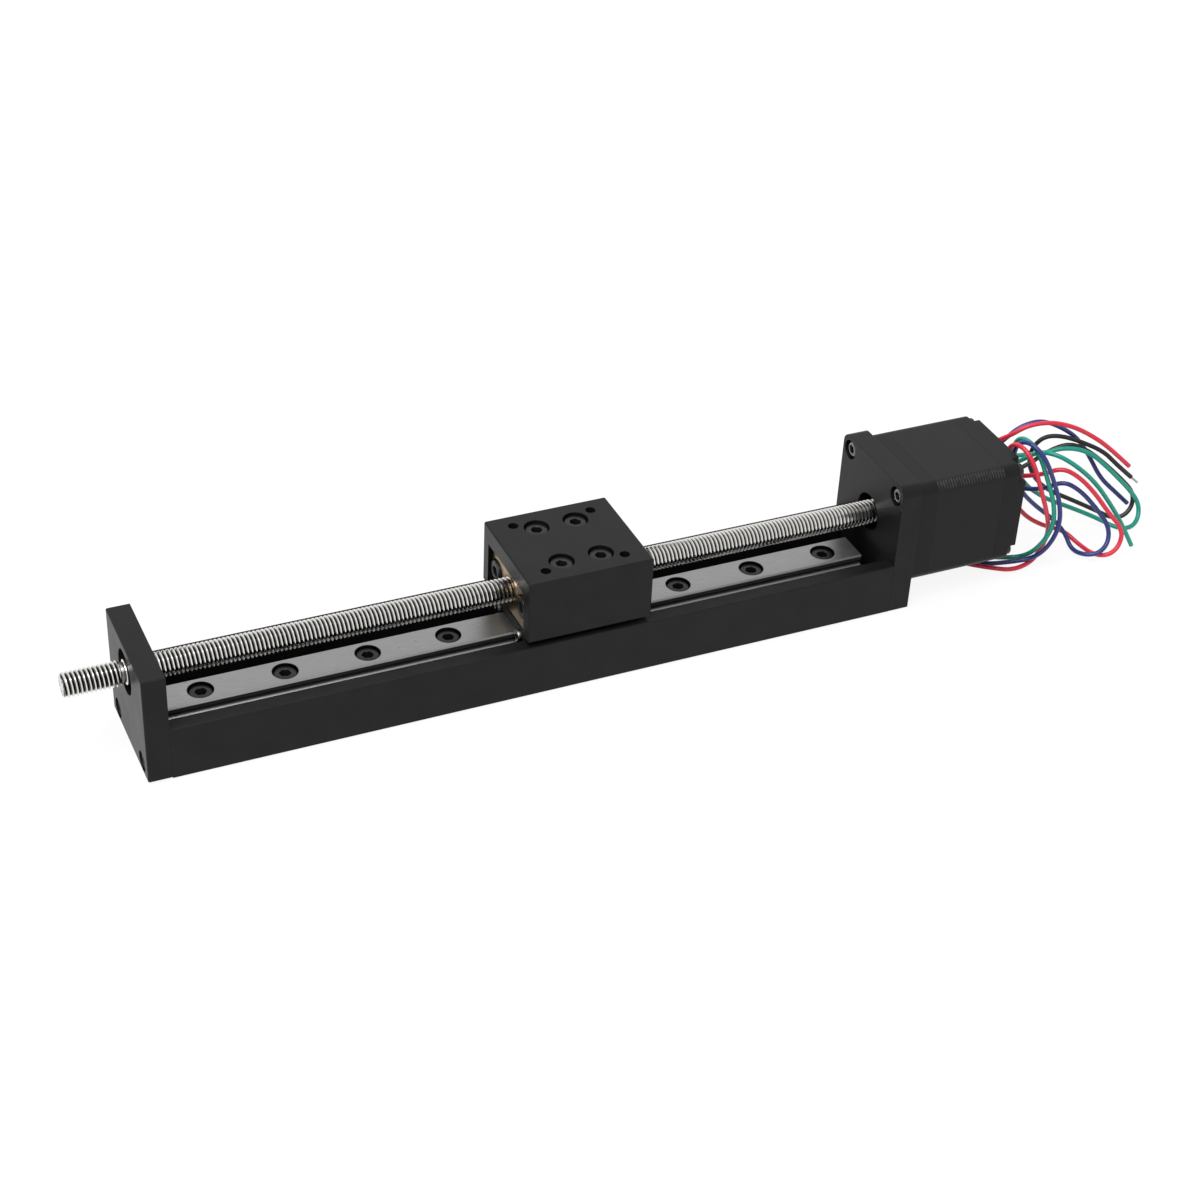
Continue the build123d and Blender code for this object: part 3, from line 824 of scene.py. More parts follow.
@dataclass(frozen=True)
class Screw:
    """One socket screw, head up at the origin of its seat.

    Attributes:
        head_r: The head's radius.
        head_height: The head's height.
        flats: The socket's width across flats.
        shank_r: The shank's outer radius.
        pitch: The thread's pitch.
        knurl: The depth of the knurls on the head.
        edge: The width of the head's rounded edge.
        sides: The points round each ring.
        socket_share: The socket's depth, as a share of the head's height.
        thread_share: The thread's depth, as a share of its pitch.
    """

    MIDDLE_R = 0.02
    DRILL_DEPTH_SHARE = 0.2
    DRILL_R_SHARE = 0.46
    LIP_DEPTH = 0.12
    LIP_WIDTH = 0.1
    ROUNDING_SHARE = 0.35
    SEAT_HEIGHT = 0.1
    SEAT_STEP = 0.15
    PITCH_ROWS = 4
    TAPER_ROWS = 3
    TAPER_SHARE = 0.72

    head_r: float
    head_height: float
    flats: float
    shank_r: float
    pitch: float
    knurl: float = 0.07
    edge: float = 0.28
    sides: int = 48
    socket_share: float = 0.55
    thread_share: float = 0.486

    def ring(self, bm: bmesh.types.BMesh, height: float, radius: Callable[[float, int], float],
             swell: float = 0.0) -> list[bmesh.types.BMVert]:
        """One ring of points.

        Args:
            bm: The mesh being built.
            height: The ring's height.
            radius: The radius for an angle and a point's number.
            swell: What is added to the radius.

        Returns:
            The ring's points.
        """
        points = []
        for i in range(self.sides):
            angle = FULL_TURN * i / self.sides
            reach = radius(angle, i) + swell
            spot = Vector((reach * math.cos(angle), reach * math.sin(angle), height)) * MM
            points.append(bm.verts.new(spot))
        return points

    def round(self, bm: bmesh.types.BMesh, height: float, radius: float) -> list[bmesh.types.BMVert]:
        """One round ring of points, at a height and a radius."""
        return self.ring(bm, height, lambda angle, i: radius)

    def hexagon(self, angle: float, _: int) -> float:
        """The socket wall's distance from the axis at an angle."""
        return self.flats / 2 / math.cos((angle % SIXTH_TURN) - SIXTH_TURN / 2)

    def knurled(self, _: float, number: int) -> float:
        """The head's radius at one of its points, with every second one lower."""
        return self.head_r - self.knurl * (number % 2)

    def thread_radius(self, height: float, angle: float) -> float:
        """The shank's radius on a right-hand thread, at a height and an angle."""
        phase = (height / self.pitch - angle / FULL_TURN) % 1.0
        return self.shank_r - self.pitch * self.thread_share * abs(2 * phase - 1)

    def head(self, bm: bmesh.types.BMesh) -> list[list[bmesh.types.BMVert]]:
        """The head's rings, from the socket's middle to the shank.

        Args:
            bm: The mesh being built.

        Returns:
            The rings in order.
        """
        top = self.head_height
        floor = top - self.head_height * self.socket_share
        rounding = self.edge * self.ROUNDING_SHARE
        return [
            self.round(bm, floor - self.flats * self.DRILL_DEPTH_SHARE, self.MIDDLE_R),
            self.round(bm, floor, self.flats * self.DRILL_R_SHARE),
            self.ring(bm, floor, self.hexagon),
            self.ring(bm, top - self.LIP_DEPTH, self.hexagon),
            self.ring(bm, top, self.hexagon, self.LIP_WIDTH),
            self.round(bm, top, self.head_r - self.edge),
            self.round(bm, top - rounding, self.head_r - rounding),
            self.ring(bm, top - self.edge, self.knurled),
            self.ring(bm, self.SEAT_HEIGHT, self.knurled),
            self.round(bm, 0.0, self.head_r - self.SEAT_STEP),
            self.round(bm, 0.0, self.shank_r),
        ]

    def mesh(self, length: float) -> bpy.types.Mesh:
        """The whole screw.

        Args:
            length: The shank's length.

        Returns:
            The screw's mesh, with its head's seat at the origin and its shank along -Z.
        """
        bm = bmesh.new()
        rings = self.head(bm)
        rows = max(self.PITCH_ROWS, round(length / self.pitch * self.PITCH_ROWS))
        for row in range(1, rows + 1):
            height = -length * row / rows
            taper = min(1.0, (rows - row) / self.TAPER_ROWS + self.TAPER_SHARE)
            rings.append(self.ring(bm, height, lambda angle, i: self.thread_radius(height, angle) * taper))
        rings.append(self.round(bm, -length, self.MIDDLE_R))
        for upper, lower in zip(rings, rings[1:]):
            bridge(bm, upper, lower)
        for end in (rings[0], rings[-1]):
            bm.faces.new(end)
        bmesh.ops.recalc_face_normals(bm, faces=bm.faces)
        return smooth(mesh_from(bm, "socket_screw"))


class LayoutTree(NodeTool):
    """A node tree that sets copies of one part on the points of a mesh, each turned at random."""

    NAME = "set_out_fasteners"
    INPUTS = {"Fastener": "Object", "Finish": "Material", "Largest Turn": "Float", "Seed": "Int"}
    OUTWARD = "outward"

    def join(self) -> None:
        """Adds the tree's own nodes and joins them."""
        given = self.add("NodeGroupInput").outputs
        info = self.add("GeometryNodeObjectInfo", {"Object": given["Fastener"]})
        outward = self.add("GeometryNodeInputNamedAttribute", {"Name": self.OUTWARD},
                           data_type="FLOAT_VECTOR").outputs["Attribute"]
        aim = self.add("FunctionNodeAlignRotationToVector", {"Vector": outward}, axis="Z")
        place = self.add("GeometryNodeInstanceOnPoints", {
            "Points": given["Geometry"], "Instance": info.outputs["Geometry"],
            "Rotation": aim.outputs["Rotation"]})
        angle = self.add("FunctionNodeRandomValue", {"Seed": given["Seed"]}, data_type="FLOAT")
        self.give(live(angle.inputs, "Max"), given["Largest Turn"])
        spin = self.add("ShaderNodeCombineXYZ", {"Z": live(angle.outputs)})
        turn = self.add("GeometryNodeRotateInstances", {
            "Instances": place.outputs["Instances"], "Rotation": spin.outputs[0]})
        self.close(turn.outputs["Instances"], given["Finish"])

    def mesh(self, places: Sequence[Vector], outward: Point, part: bpy.types.Mesh,
             finish: bpy.types.Material, seed: int) -> bpy.types.Mesh:
        """Sets out one group of fasteners.

        Args:
            places: The seats, in metres.
            outward: The way that the heads look.
            part: One fastener's mesh.
            finish: Its material.
            seed: The seed of the random turns.

        Returns:
            One mesh with all of them.
        """
        model = placed(part, "fastener_model")
        spots = bpy.data.meshes.new("fastener_places")
        spots.from_pydata([tuple(p) for p in places], [], [])
        for item in spots.attributes.new(self.OUTWARD, "FLOAT_VECTOR", "POINT").data:
            item.vector = outward
        mesh = self.run(spots, {
            "Fastener": model, "Finish": finish, "Largest Turn": SIXTH_TURN, "Seed": seed})
        bpy.data.objects.remove(model)
        return smooth(mesh)


@dataclass(frozen=True)
class FastenerGroup:
    """Fasteners of one node that look the same way.

    Attributes:
        node: The node that they replace.
        screw: The kind of screw.
        direction: The way their heads look.
        body: The body that they ride on.
        seed: The seed of their random turns.
    """

    node: str
    screw: Screw
    direction: Direction
    body: Body
    seed: int

    def solids(self, shop: Workshop) -> list[Box]:
        """The boxes of the node's separate solids.

        Args:
            shop: The shared workshop.

        Returns:
            Each box's lowest and highest corner.
        """
        bm = shop.merged(self.node)
        waiting = set(bm.verts)
        boxes = []
        while waiting:
            start = next(v for v in bm.verts if v in waiting)
            found, frontier = {start}, [start]
            while frontier:
                for joined in frontier.pop().link_edges:
                    for vert in joined.verts:
                        if vert not in found:
                            found.add(vert)
                            frontier.append(vert)
            waiting -= found
            low, high = (Vector([end(v.co[i] for v in found) for i in range(3)]) for end in (min, max))
            boxes.append((low, high))
        bm.free()
        return boxes

    def mesh(self, shop: Workshop, layout: LayoutTree, boxes: Sequence[Box]) -> bpy.types.Mesh:
        """Sets a screw in the place of each box.

        Args:
            shop: The shared workshop.
            layout: The tree that sets them out.
            boxes: The boxes of the solids that they replace.

        Returns:
            One mesh with all the screws.
        """
        axis = self.direction.axis
        outward = Vector(self.direction.value)
        seats = []
        for low, high in boxes:
            middle = (low + high) / 2
            middle[axis] = (high if outward[axis] > 0 else low)[axis]
            seats.append(middle - outward * self.screw.head_height * MM)
        length = (high[axis] - low[axis]) / MM - self.screw.head_height
        return layout.mesh(seats, self.direction.value, self.screw.mesh(length),
                           shop.finish(shop.slots[self.node]), self.seed)


@dataclass(frozen=True)
class Fasteners:
    """All the table's screws.

    Attributes:
        m3: The rail's, slide block's and nut's screws.
        m25: The end plate's and bracket's screws.
        m2: The guide block's cap screws.
        motor: The screws that hold the motor.
        case: The screws that hold the motor's housing together.
    """

    m3: Screw = Screw(2.75, 3.0, 2.5, 1.5, 0.5)
    m25: Screw = Screw(2.25, 2.4, 2.0, 1.25, 0.45)
    m2: Screw = Screw(1.7, 1.1, 1.0, 1.0, 0.4, knurl=0.0)
    motor: Screw = Screw(2.0, 2.4, 2.0, 1.25, 0.45, knurl=0.0, edge=0.5)
    case: Screw = Screw(1.8, 1.6, 1.6, 1.25, 0.45, knurl=0.0)

    def groups(self) -> list[FastenerGroup]:
        """Lists the groups that look one way.

        Returns:
            The groups, each with its node, direction, body and seed.
        """
        return [
            FastenerGroup("rail_screws", self.m3, Direction.UP, Body.BASE, 3),
            FastenerGroup("end_plate_screws", self.m25, Direction.LEFT, Body.BASE, 5),
            FastenerGroup("bracket_screws", self.m25, Direction.RIGHT, Body.BASE, 7),
            FastenerGroup("motor_screws", self.motor, Direction.LEFT, Body.BASE, 11),
            FastenerGroup("motor_case_screws", self.case, Direction.RIGHT, Body.BASE, 13),
            FastenerGroup("slide_block_screws", self.m3, Direction.UP, Body.CARRIAGE, 17),
            FastenerGroup("nut_screws", self.m3, Direction.LEFT, Body.CARRIAGE, 19),
        ]

    def build(self, shop: Workshop) -> None:
        """Sets out every group, and the end caps' screws on their two sides.

        Args:
            shop: The shared workshop.
        """
        layout = LayoutTree()
        for group in self.groups():
            shop.declare(group.mesh(shop, layout, group.solids(shop)), group.node, group.body)
        self.cap_screws(shop, layout)

    def cap_screws(self, shop: Workshop, layout: LayoutTree) -> None:
        """The silver screws that look out of both ends of the guide block.

        Args:
            shop: The shared workshop.
            layout: The tree that sets them out.
        """
        sides = [FastenerGroup("cap_screws", self.m2, direction, Body.CARRIAGE, 23)
                 for direction in (Direction.LEFT, Direction.RIGHT)]
        boxes = sides[0].solids(shop)
        centre = sum((low + high).x / 2 for low, high in boxes) / len(boxes)
        joined = bmesh.new()
        for group in sides:
            sign = group.direction.value[0]
            own = [(low, high) for low, high in boxes if ((low + high).x / 2 - centre) * sign > 0]
            joined.from_mesh(group.mesh(shop, layout, own))
        shop.declare(smooth(mesh_from(joined, "cap_screws")), "cap_screws", Body.CARRIAGE)


class ThreadTree(NodeTool):
    """A node tree that winds a grid round the screw's axis, so that its rows follow the thread."""

    NAME = "wind_thread"
    INPUTS = {"Start": "Float", "End": "Float", "Lead": "Float", "Crest Radius": "Float",
              "Depth": "Float", "Chamfer": "Float", "Axis Height": "Float",
              "Rows in a Turn": "Int", "Sides": "Int", "Finish": "Material"}
    CREST_RISE = 1.4
    FLANK_SLOPE = 1.6

    def limited(self, value: Socket, low: Socket | float = 0.0, high: Socket | float = 1.0) -> Socket:
        """A value kept between two others, or between 0 and 1."""
        return self.math("MINIMUM", self.math("MAXIMUM", value, low), high)

    def join(self) -> None:
        """Adds the tree's own nodes and joins them."""
        given = self.add("NodeGroupInput").outputs
        start, end, lead = (given[name] for name in ("Start", "End", "Lead"))
        length = self.math("DIVIDE", self.math("SUBTRACT", end, start), lead)
        turns = self.math("ADD", self.math("CEIL", length), 1.0)
        wound = self.math("MULTIPLY", turns, lead)
        rows = self.math("MULTIPLY", turns, given["Rows in a Turn"])
        grid = self.add("GeometryNodeMeshGrid", {
            "Size X": wound, "Size Y": FULL_TURN, "Vertices X": self.math("ADD", rows, 1.0),
            "Vertices Y": self.math("ADD", given["Sides"], 1.0)})
        position = self.add("GeometryNodeInputPosition").outputs[0]
        spot = self.add("ShaderNodeSeparateXYZ", {0: position}).outputs
        along = self.math("ADD", spot[0], self.math("MULTIPLY", wound, 0.5))
        angle = self.math("ADD", spot[1], math.pi)
        advance = self.math("SUBTRACT", self.math("DIVIDE", angle, FULL_TURN), 1.0)
        raw = self.math("ADD", self.math("ADD", start, along), self.math("MULTIPLY", advance, lead))
        x = self.limited(raw, start, end)
        near_end = self.math("MINIMUM", self.math("SUBTRACT", x, start), self.math("SUBTRACT", end, x))
        limit = self.limited(self.math("DIVIDE", near_end, given["Chamfer"]))
        phase = self.math("FRACT", self.math("DIVIDE", along, lead))
        valley = self.math("ABSOLUTE", self.math("SUBTRACT", self.math("MULTIPLY", phase, 2.0), 1.0))
        fall = self.math("MULTIPLY", valley, self.FLANK_SLOPE)
        rise = self.limited(self.math("SUBTRACT", self.CREST_RISE, fall))
        crest = self.math("MINIMUM", rise, limit)
        sunk = self.math("MULTIPLY", given["Depth"], self.math("SUBTRACT", 1.0, crest))
        reach = self.math("SUBTRACT", given["Crest Radius"], sunk)
        height = self.math("MULTIPLY", reach, self.math("SINE", angle))
        place = self.add("ShaderNodeCombineXYZ", {
            0: x, 1: self.math("MULTIPLY", reach, self.math("COSINE", angle)),
            2: self.math("ADD", given["Axis Height"], height)})
        # The crest share that the thread's material reads to paint shade into the roots.
        marked = self.add("GeometryNodeStoreNamedAttribute", {
            "Geometry": grid.outputs[0], "Name": CREST, "Value": crest})
        moved = self.add("GeometryNodeSetPosition", {
            "Geometry": marked.outputs[0], "Position": place.outputs[0]})
        welded = self.add("GeometryNodeMergeByDistance", {
            "Geometry": moved.outputs[0], "Distance": WELD * MM})
        self.close(welded.outputs[0], given["Finish"])


@dataclass(frozen=True)
class LeadScrew:
    """The threaded screw with its journals, in one piece with the motor's shaft.

    Attributes:
        axis_z: The axis's height.
        crest_r: The radius over the crests.
        depth: The thread's depth.
        lead: The travel in one turn.
        rows: The points along one turn's lead.
        sides: The points round the screw.
        plate_face: The end plate's outer face.
        plate_inner: The end plate's inner face.
        undercut: The length of the groove where the outer thread runs out.
        undercut_r: The groove's radius.
        journal_r: The radius in the end plate's bearing.
        thread_end: Where the thread stops, in the motor bracket.
        shaft_r: The shaft's radius in the motor.
        chamfer: The length over which the thread rises at its ends.
        edge: The chamfer at the shaft's end.
    """

    # Turned lengths count as crest, so the thread's painted root shade stays off them.
    TURNED_CREST = 0.9
    JOIN = 0.004
    SLIVER = 0.001

    axis_z: float = 20.5
    crest_r: float = 3.0
    depth: float = 0.54
    lead: float = 1.0
    rows: int = 8
    sides: int = 32
    plate_face: float = -97.1
    plate_inner: float = -91.5
    undercut: float = 1.0
    undercut_r: float = 2.4
    journal_r: float = 2.95
    thread_end: float = 96.1
    shaft_r: float = 2.5
    chamfer: float = 0.6
    edge: float = 0.3

    def thread(self, tree: ThreadTree, finish: bpy.types.Material, start: float,
               end: float) -> bpy.types.Mesh:
        """Winds one threaded length, open at both ends.

        Args:
            tree: The tree that winds it.
            finish: Its material.
            start: Its left end.
            end: Its right end.

        Returns:
            The thread's mesh.
        """
        lengths = {"Start": start, "End": end, "Lead": self.lead, "Crest Radius": self.crest_r,
                   "Depth": self.depth, "Chamfer": self.chamfer, "Axis Height": self.axis_z}
        values = {name: length * MM for name, length in lengths.items()}
        values |= {"Rows in a Turn": self.rows, "Sides": self.sides, "Finish": finish}
        return tree.run(bpy.data.meshes.new("thread"), values)

    def turned(self, bm: bmesh.types.BMesh, outline: Sequence[tuple[float, float]]) -> None:
        """Adds a plain turned length.

        Args:
            bm: The mesh being built.
            outline: Its places along X with their radii.
        """
        crest = bm.verts.layers.float[CREST]
        rings = []
        for x, radius in outline:
            ring = []
            for i in range(self.sides):
                angle = FULL_TURN * i / self.sides
                spot = Vector((x, radius * math.cos(angle), self.axis_z + radius * math.sin(angle)))
                vert = bm.verts.new(spot * MM)
                vert[crest] = self.TURNED_CREST
                ring.append(vert)
            rings.append(ring)
        for left, right in zip(rings, rings[1:]):
            bridge(bm, left, right)

    def build(self, shop: Workshop) -> None:
        """Makes the screw.

        Args:
            shop: The shared workshop.
        """
        low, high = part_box("lead_screw")
        tip, shaft_end = low.x / MM, high.x / MM
        root = self.crest_r - self.depth
        run_out = self.plate_face - self.undercut
        tree = ThreadTree()
        finish = shop.finish(shop.slots["lead_screw"])
        bm = bmesh.new()
        bm.from_mesh(self.thread(tree, finish, tip, run_out))
        bm.from_mesh(self.thread(tree, finish, self.plate_inner, self.thread_end))
        self.turned(bm, [(tip, 0.0), (tip, root)])
        self.turned(bm, [
            (run_out, root), (run_out, self.undercut_r), (self.plate_face, self.undercut_r),
            (self.plate_face, self.journal_r), (self.plate_inner, self.journal_r),
            (self.plate_inner, root)])
        self.turned(bm, [
            (self.thread_end, root), (self.thread_end, self.shaft_r),
            (shaft_end - self.edge, self.shaft_r), (shaft_end, self.shaft_r - self.edge),
            (shaft_end, 0.0)])
        bmesh.ops.remove_doubles(bm, verts=bm.verts, dist=self.JOIN * MM)
        bmesh.ops.dissolve_degenerate(bm, edges=bm.edges, dist=self.SLIVER * MM)
        bmesh.ops.recalc_face_normals(bm, faces=bm.faces)
        LOG.info("lead screw: %d open edges", sum(not edge.is_manifold for edge in bm.edges))
        mesh = smooth(mesh_from(bm, "lead_screw_thread"), ROUNDED_ANGLE)
        shop.declare(mesh, "lead_screw", Body.SCREW)


# The middle lines of the leads, from the motor to their cut ends. They were set over the photo, and a
# program then moved many of the points to widen the bends and keep the leads apart.
ROUTES: dict[Lead, list[Point]] = {
    Lead.RED: [
        (128.2, 9.2, 18.3), (132, 9.2, 18.3), (136.1, 5.2, 18.2), (141.2, -1.8, 21.6), (144.8, -5, 25),
        (148.8, -7.5, 22.9), (153.2, -9.5, 18.2), (156.9, -11.5, 12.8), (161.5, -13, 7.3),
        (160.6, -14.2, 3.3), (157.3, -14.8, 1.3), (154.1, -12.6, 0.8), (153.1, -7, 0.8),
        (150.8, -2.5, 3), (145.4, 0, 4.2), (139.5, 1, 8.4), (134.2, 0.5, 16), (131.4, 0, 24.2),
        (129.6, -1.6, 32), (129.1, -5.2, 35.7), (129.7, -9, 35.9), (130.9, -12, 32.8),
        (133.7, -12.6, 25.3), (136.5, -13, 18), (140.7, -9.7, 9.1), (139.9, -8.6, 3.3),
        (136.6, -9.8, 0.8), (130.3, -11.2, 0.8), (125.7, -8.6, 0.8), (118.5, -3, 0.8), (116.5, 6, 0.8),
        (120, 14.5, 0.8), (127.5, 19, 4), (133.5, 18, 13), (134.7, 14.9, 22.5), (137.9, 9.4, 27.7),
        (141.6, 8, 30.7), (147.4, 6.5, 31.5), (153.5, 5, 29.9), (158.9, 3.5, 26.9), (164.2, 2, 23),
        (170.7, 0.5, 16.7),
    ],
    Lead.GREEN: [
        (128.2, 11.6, 18.3), (132.2, 11.6, 18.3), (139.5, 10.6, 20.6), (147.2, 7.7, 21.2),
        (153.2, 5.5, 23.3), (159.2, 3, 22), (165.2, 1, 16.4), (170.8, -0.3, 10.6), (174.6, -1.1, 6),
        (174.4, -3, 2.6), (171.4, -5, 0.8), (167.2, -4.5, 0.8), (163.4, 1.1, 1.9), (156.4, 3.5, 5.2),
        (149.4, 5, 8.4), (142.2, 5, 14), (136.9, 4.2, 21.5), (133.1, 1.2, 29.6), (131.5, -2.8, 35.6),
        (132.3, -6.8, 36.6), (133.4, -10.2, 34.1), (135.7, -12, 27.4), (138.1, -13, 20.7),
        (139.3, -13, 14), (137.4, -12.4, 8.3), (136.1, -8.3, 2), (131.1, -5.9, 1), (125, -2.5, 0.8),
        (123.5, 4, 0.8), (126.5, 10, 1), (132.5, 13, 6), (135.8, 14.2, 13.5), (141.2, 7, 21),
        (141.8, 1.9, 26.5), (144.6, -2.8, 27.6), (148.8, -5.8, 25.1), (153.9, -7.8, 20.4),
        (158.5, -9.6, 14), (162.8, -11.3, 7), (166, -12.2, 0.8),
    ],
    Lead.BLUE: [
        (128.2, 9.2, 16), (132, 9.2, 16), (136.2, 5.4, 14.9), (142.2, -1.8, 16.8), (146, -4.9, 20.7),
        (149.9, -7.7, 18.6), (154.2, -9.8, 13.6), (158.2, -11.2, 8.1), (157.6, -13.2, 4.4),
        (154.4, -14.4, 2.4), (151.2, -12.8, 1.5), (149.8, -8.4, 0.8), (149.7, -4.8, 4),
        (146.9, -1.5, 7.3), (141.4, -0.8, 11.9), (135.2, -1.6, 18.6), (131.6, -2, 26),
        (130.7, -3.1, 33.3), (130.6, -6.5, 36.8), (131.7, -10.1, 37), (133.6, -12.9, 34.2),
        (137.1, -12.8, 27.1), (139.5, -13.6, 20.7), (140.5, -13.9, 14), (138.8, -13.5, 8),
        (136.8, -10.6, 2.6), (131.2, -8.3, 1.2), (123.5, -6, 0.8), (119.8, 1.5, 0.8), (121.5, 10, 0.8),
        (127, 15, 2.2), (131.5, 15.5, 9), (132.8, 14.2, 19), (137.8, 12.1, 24.5), (141.4, 11.1, 28.6),
        (146.9, 10, 30.2), (152.4, 9, 27.9), (158.3, 8.2, 23.7), (162, 6.5, 18.1), (165.3, 4.5, 11.8),
        (169.9, 3, 7.3), (173.9, 2.2, 3.4),
    ],
    Lead.BLACK: [
        (128.2, 11.6, 16), (132.2, 11.6, 16), (138.4, 9.3, 15.6), (144.3, 7.8, 18.8), (150.6, 9, 20.8),
        (155, 6.6, 23.5), (159.4, 4.4, 21.7), (164, 3, 17.9), (170.2, 2.2, 12), (174.1, 1, 7.7),
        (173.9, -0.2, 4.2), (171.4, -0.9, 1.9), (168.6, 0.4, 0.8), (164.7, 3.4, 2.5), (157.9, 6, 5.9),
        (151.2, 8.5, 9), (146.9, 10.5, 14), (146.3, 11.5, 19.8), (149.2, 11, 24), (153.3, 9.1, 24.8),
        (158.4, 6, 23.5), (164, 3.3, 20.9), (168.1, 2.2, 16.6), (172.5, 1, 12.6),
    ],
}


def across(sides: tuple[Vector, Vector], angle: float, reach: float) -> Vector:
    """A step at an angle round a line, by the line's two square directions."""
    return (sides[0] * math.cos(angle) + sides[1] * math.sin(angle)) * reach


@dataclass
class MotorLeads:
    """The motor's four leads, in a loose hank behind it, and the black one's tinned end.

    Attributes:
        diameter: Each lead's outer diameter.
        lengths: The length of each lead's route. It is not used.
        tip_length: The bare end's length.
        tip_overlap: How far its strands start inside the insulation.
        strand_r: One strand's radius.
        strand_ring_r: The radius of the ring of strands.
        strand_count: The strands in the ring, round one in the middle.
        twist: The turns that the ring makes.
        taper: The share by which the ring narrows towards its end.
    """

    CURVE_STEPS = 14
    ROUND_STEPS = 4
    ORDER = 3
    STRAND_STEPS = 12
    STRAND_SIDES = 8
    STRAND_ANGLE = 60.0

    diameter: float = 1.2
    lengths: dict[Lead, float] = field(default_factory=lambda: {
        Lead.RED: 275.3, Lead.GREEN: 268.3, Lead.BLUE: 261.0, Lead.BLACK: 132.5})
    tip_length: float = 3.0
    tip_overlap: float = 0.3
    strand_r: float = 0.12
    strand_ring_r: float = 0.23
    strand_count: int = 6
    twist: float = 0.6
    taper: float = 0.25

    def line(self, lead: Lead) -> bpy.types.Curve:
        """A lead's curve along its route.

        Args:
            lead: The lead.

        Returns:
            The curve, as thick as the lead.
        """
        points = ROUTES[lead]
        data = bpy.data.curves.new("lead_" + lead.value + "_line", "CURVE")
        data.dimensions = "3D"
        data.bevel_depth = self.diameter / 2 * MM
        data.bevel_resolution = self.ROUND_STEPS
        data.resolution_u = self.CURVE_STEPS
        data.use_fill_caps = True
        spline = data.splines.new("NURBS")
        spline.points.add(len(points) - 1)
        for target, point in zip(spline.points, points):
            target.co = (*[c * MM for c in point], 1.0)
        spline.order_u = self.ORDER
        spline.use_endpoint_u = True
        return data

    def strand(self, bm: bmesh.types.BMesh, number: int, start: Vector, along: Vector,
               sides: tuple[Vector, Vector]) -> None:
        """Adds one strand. The last one is straight and the others wind round it.

        Args:
            bm: The mesh being built.
            number: The strand's number.
            start: The end of the insulation.
            along: The way that the lead points.
            sides: The two directions square to it.
        """
        ring_r = self.strand_ring_r if number < self.strand_count else 0.0
        rings = []
        for step in range(self.STRAND_STEPS + 1):
            share = step / self.STRAND_STEPS
            turn = FULL_TURN * (number / self.strand_count + share * self.twist)
            centre = start + along * (self.tip_length * share - self.tip_overlap)
            centre += across(sides, turn, ring_r * (1 - self.taper * share))
            angles = [FULL_TURN * i / self.STRAND_SIDES for i in range(self.STRAND_SIDES)]
            spots = [centre + across(sides, angle, self.strand_r) for angle in angles]
            rings.append([bm.verts.new(spot * MM) for spot in spots])
        for first, second in zip(rings, rings[1:]):
            bridge(bm, first, second)
        for end in (rings[0], rings[-1]):
            bm.faces.new(end)

    def tip(self, shop: Workshop) -> bpy.types.Object:
        """The black lead's bare end: twisted, tinned strands.

        Args:
            shop: The shared workshop.

        Returns:
            The piece.
        """
        before, end = (Vector(p) for p in ROUTES[Lead.BLACK][-2:])
        along = (end - before).normalized()
        side = along.orthogonal().normalized()
        bm = bmesh.new()
        for number in range(self.strand_count + 1):
            self.strand(bm, number, end, along, (side, along.cross(side)))
        bmesh.ops.recalc_face_normals(bm, faces=bm.faces)
        mesh = smooth(mesh_from(bm, "lead_tip_strands"), self.STRAND_ANGLE)
        return shop.declare(mesh, "lead_tips", Body.BASE)

    def build(self, shop: Workshop) -> None:
        """Makes every lead.

        Args:
            shop: The shared workshop.
        """
        for lead in Lead:
            piece = shop.declare(self.line(lead), "lead_" + lead.value, Body.BASE)
            ends = [self.tip(shop)] if lead is Lead.BLACK else []


@dataclass(frozen=True)
class Lamp:
    """One soft square lamp.

    Attributes:
        name: Its name.
        spot: Its place.
        size: The side of its square.
        power: Its power, in watts.
        mirrored: Whether it shows in reflections.
    """

    name: str
    spot: Point
    size: float
    power: float
    mirrored: bool

    def build(self, target: Point) -> None:
        """Hangs the lamp so that it looks at a point.

        Args:
            target: The point.
        """
        data = bpy.data.lights.new(self.name, "AREA")
        data.shape = "SQUARE"
        data.size = self.size * MM
        data.energy = self.power
        lamp = placed(data, self.name)
        place = Vector(self.spot) * MM
        aim = (Vector(target) * MM - place).to_track_quat("-Z", "Y")
        lamp.matrix_world = Matrix.Translation(place) @ aim.to_matrix().to_4x4()
        lamp.visible_glossy = self.mirrored


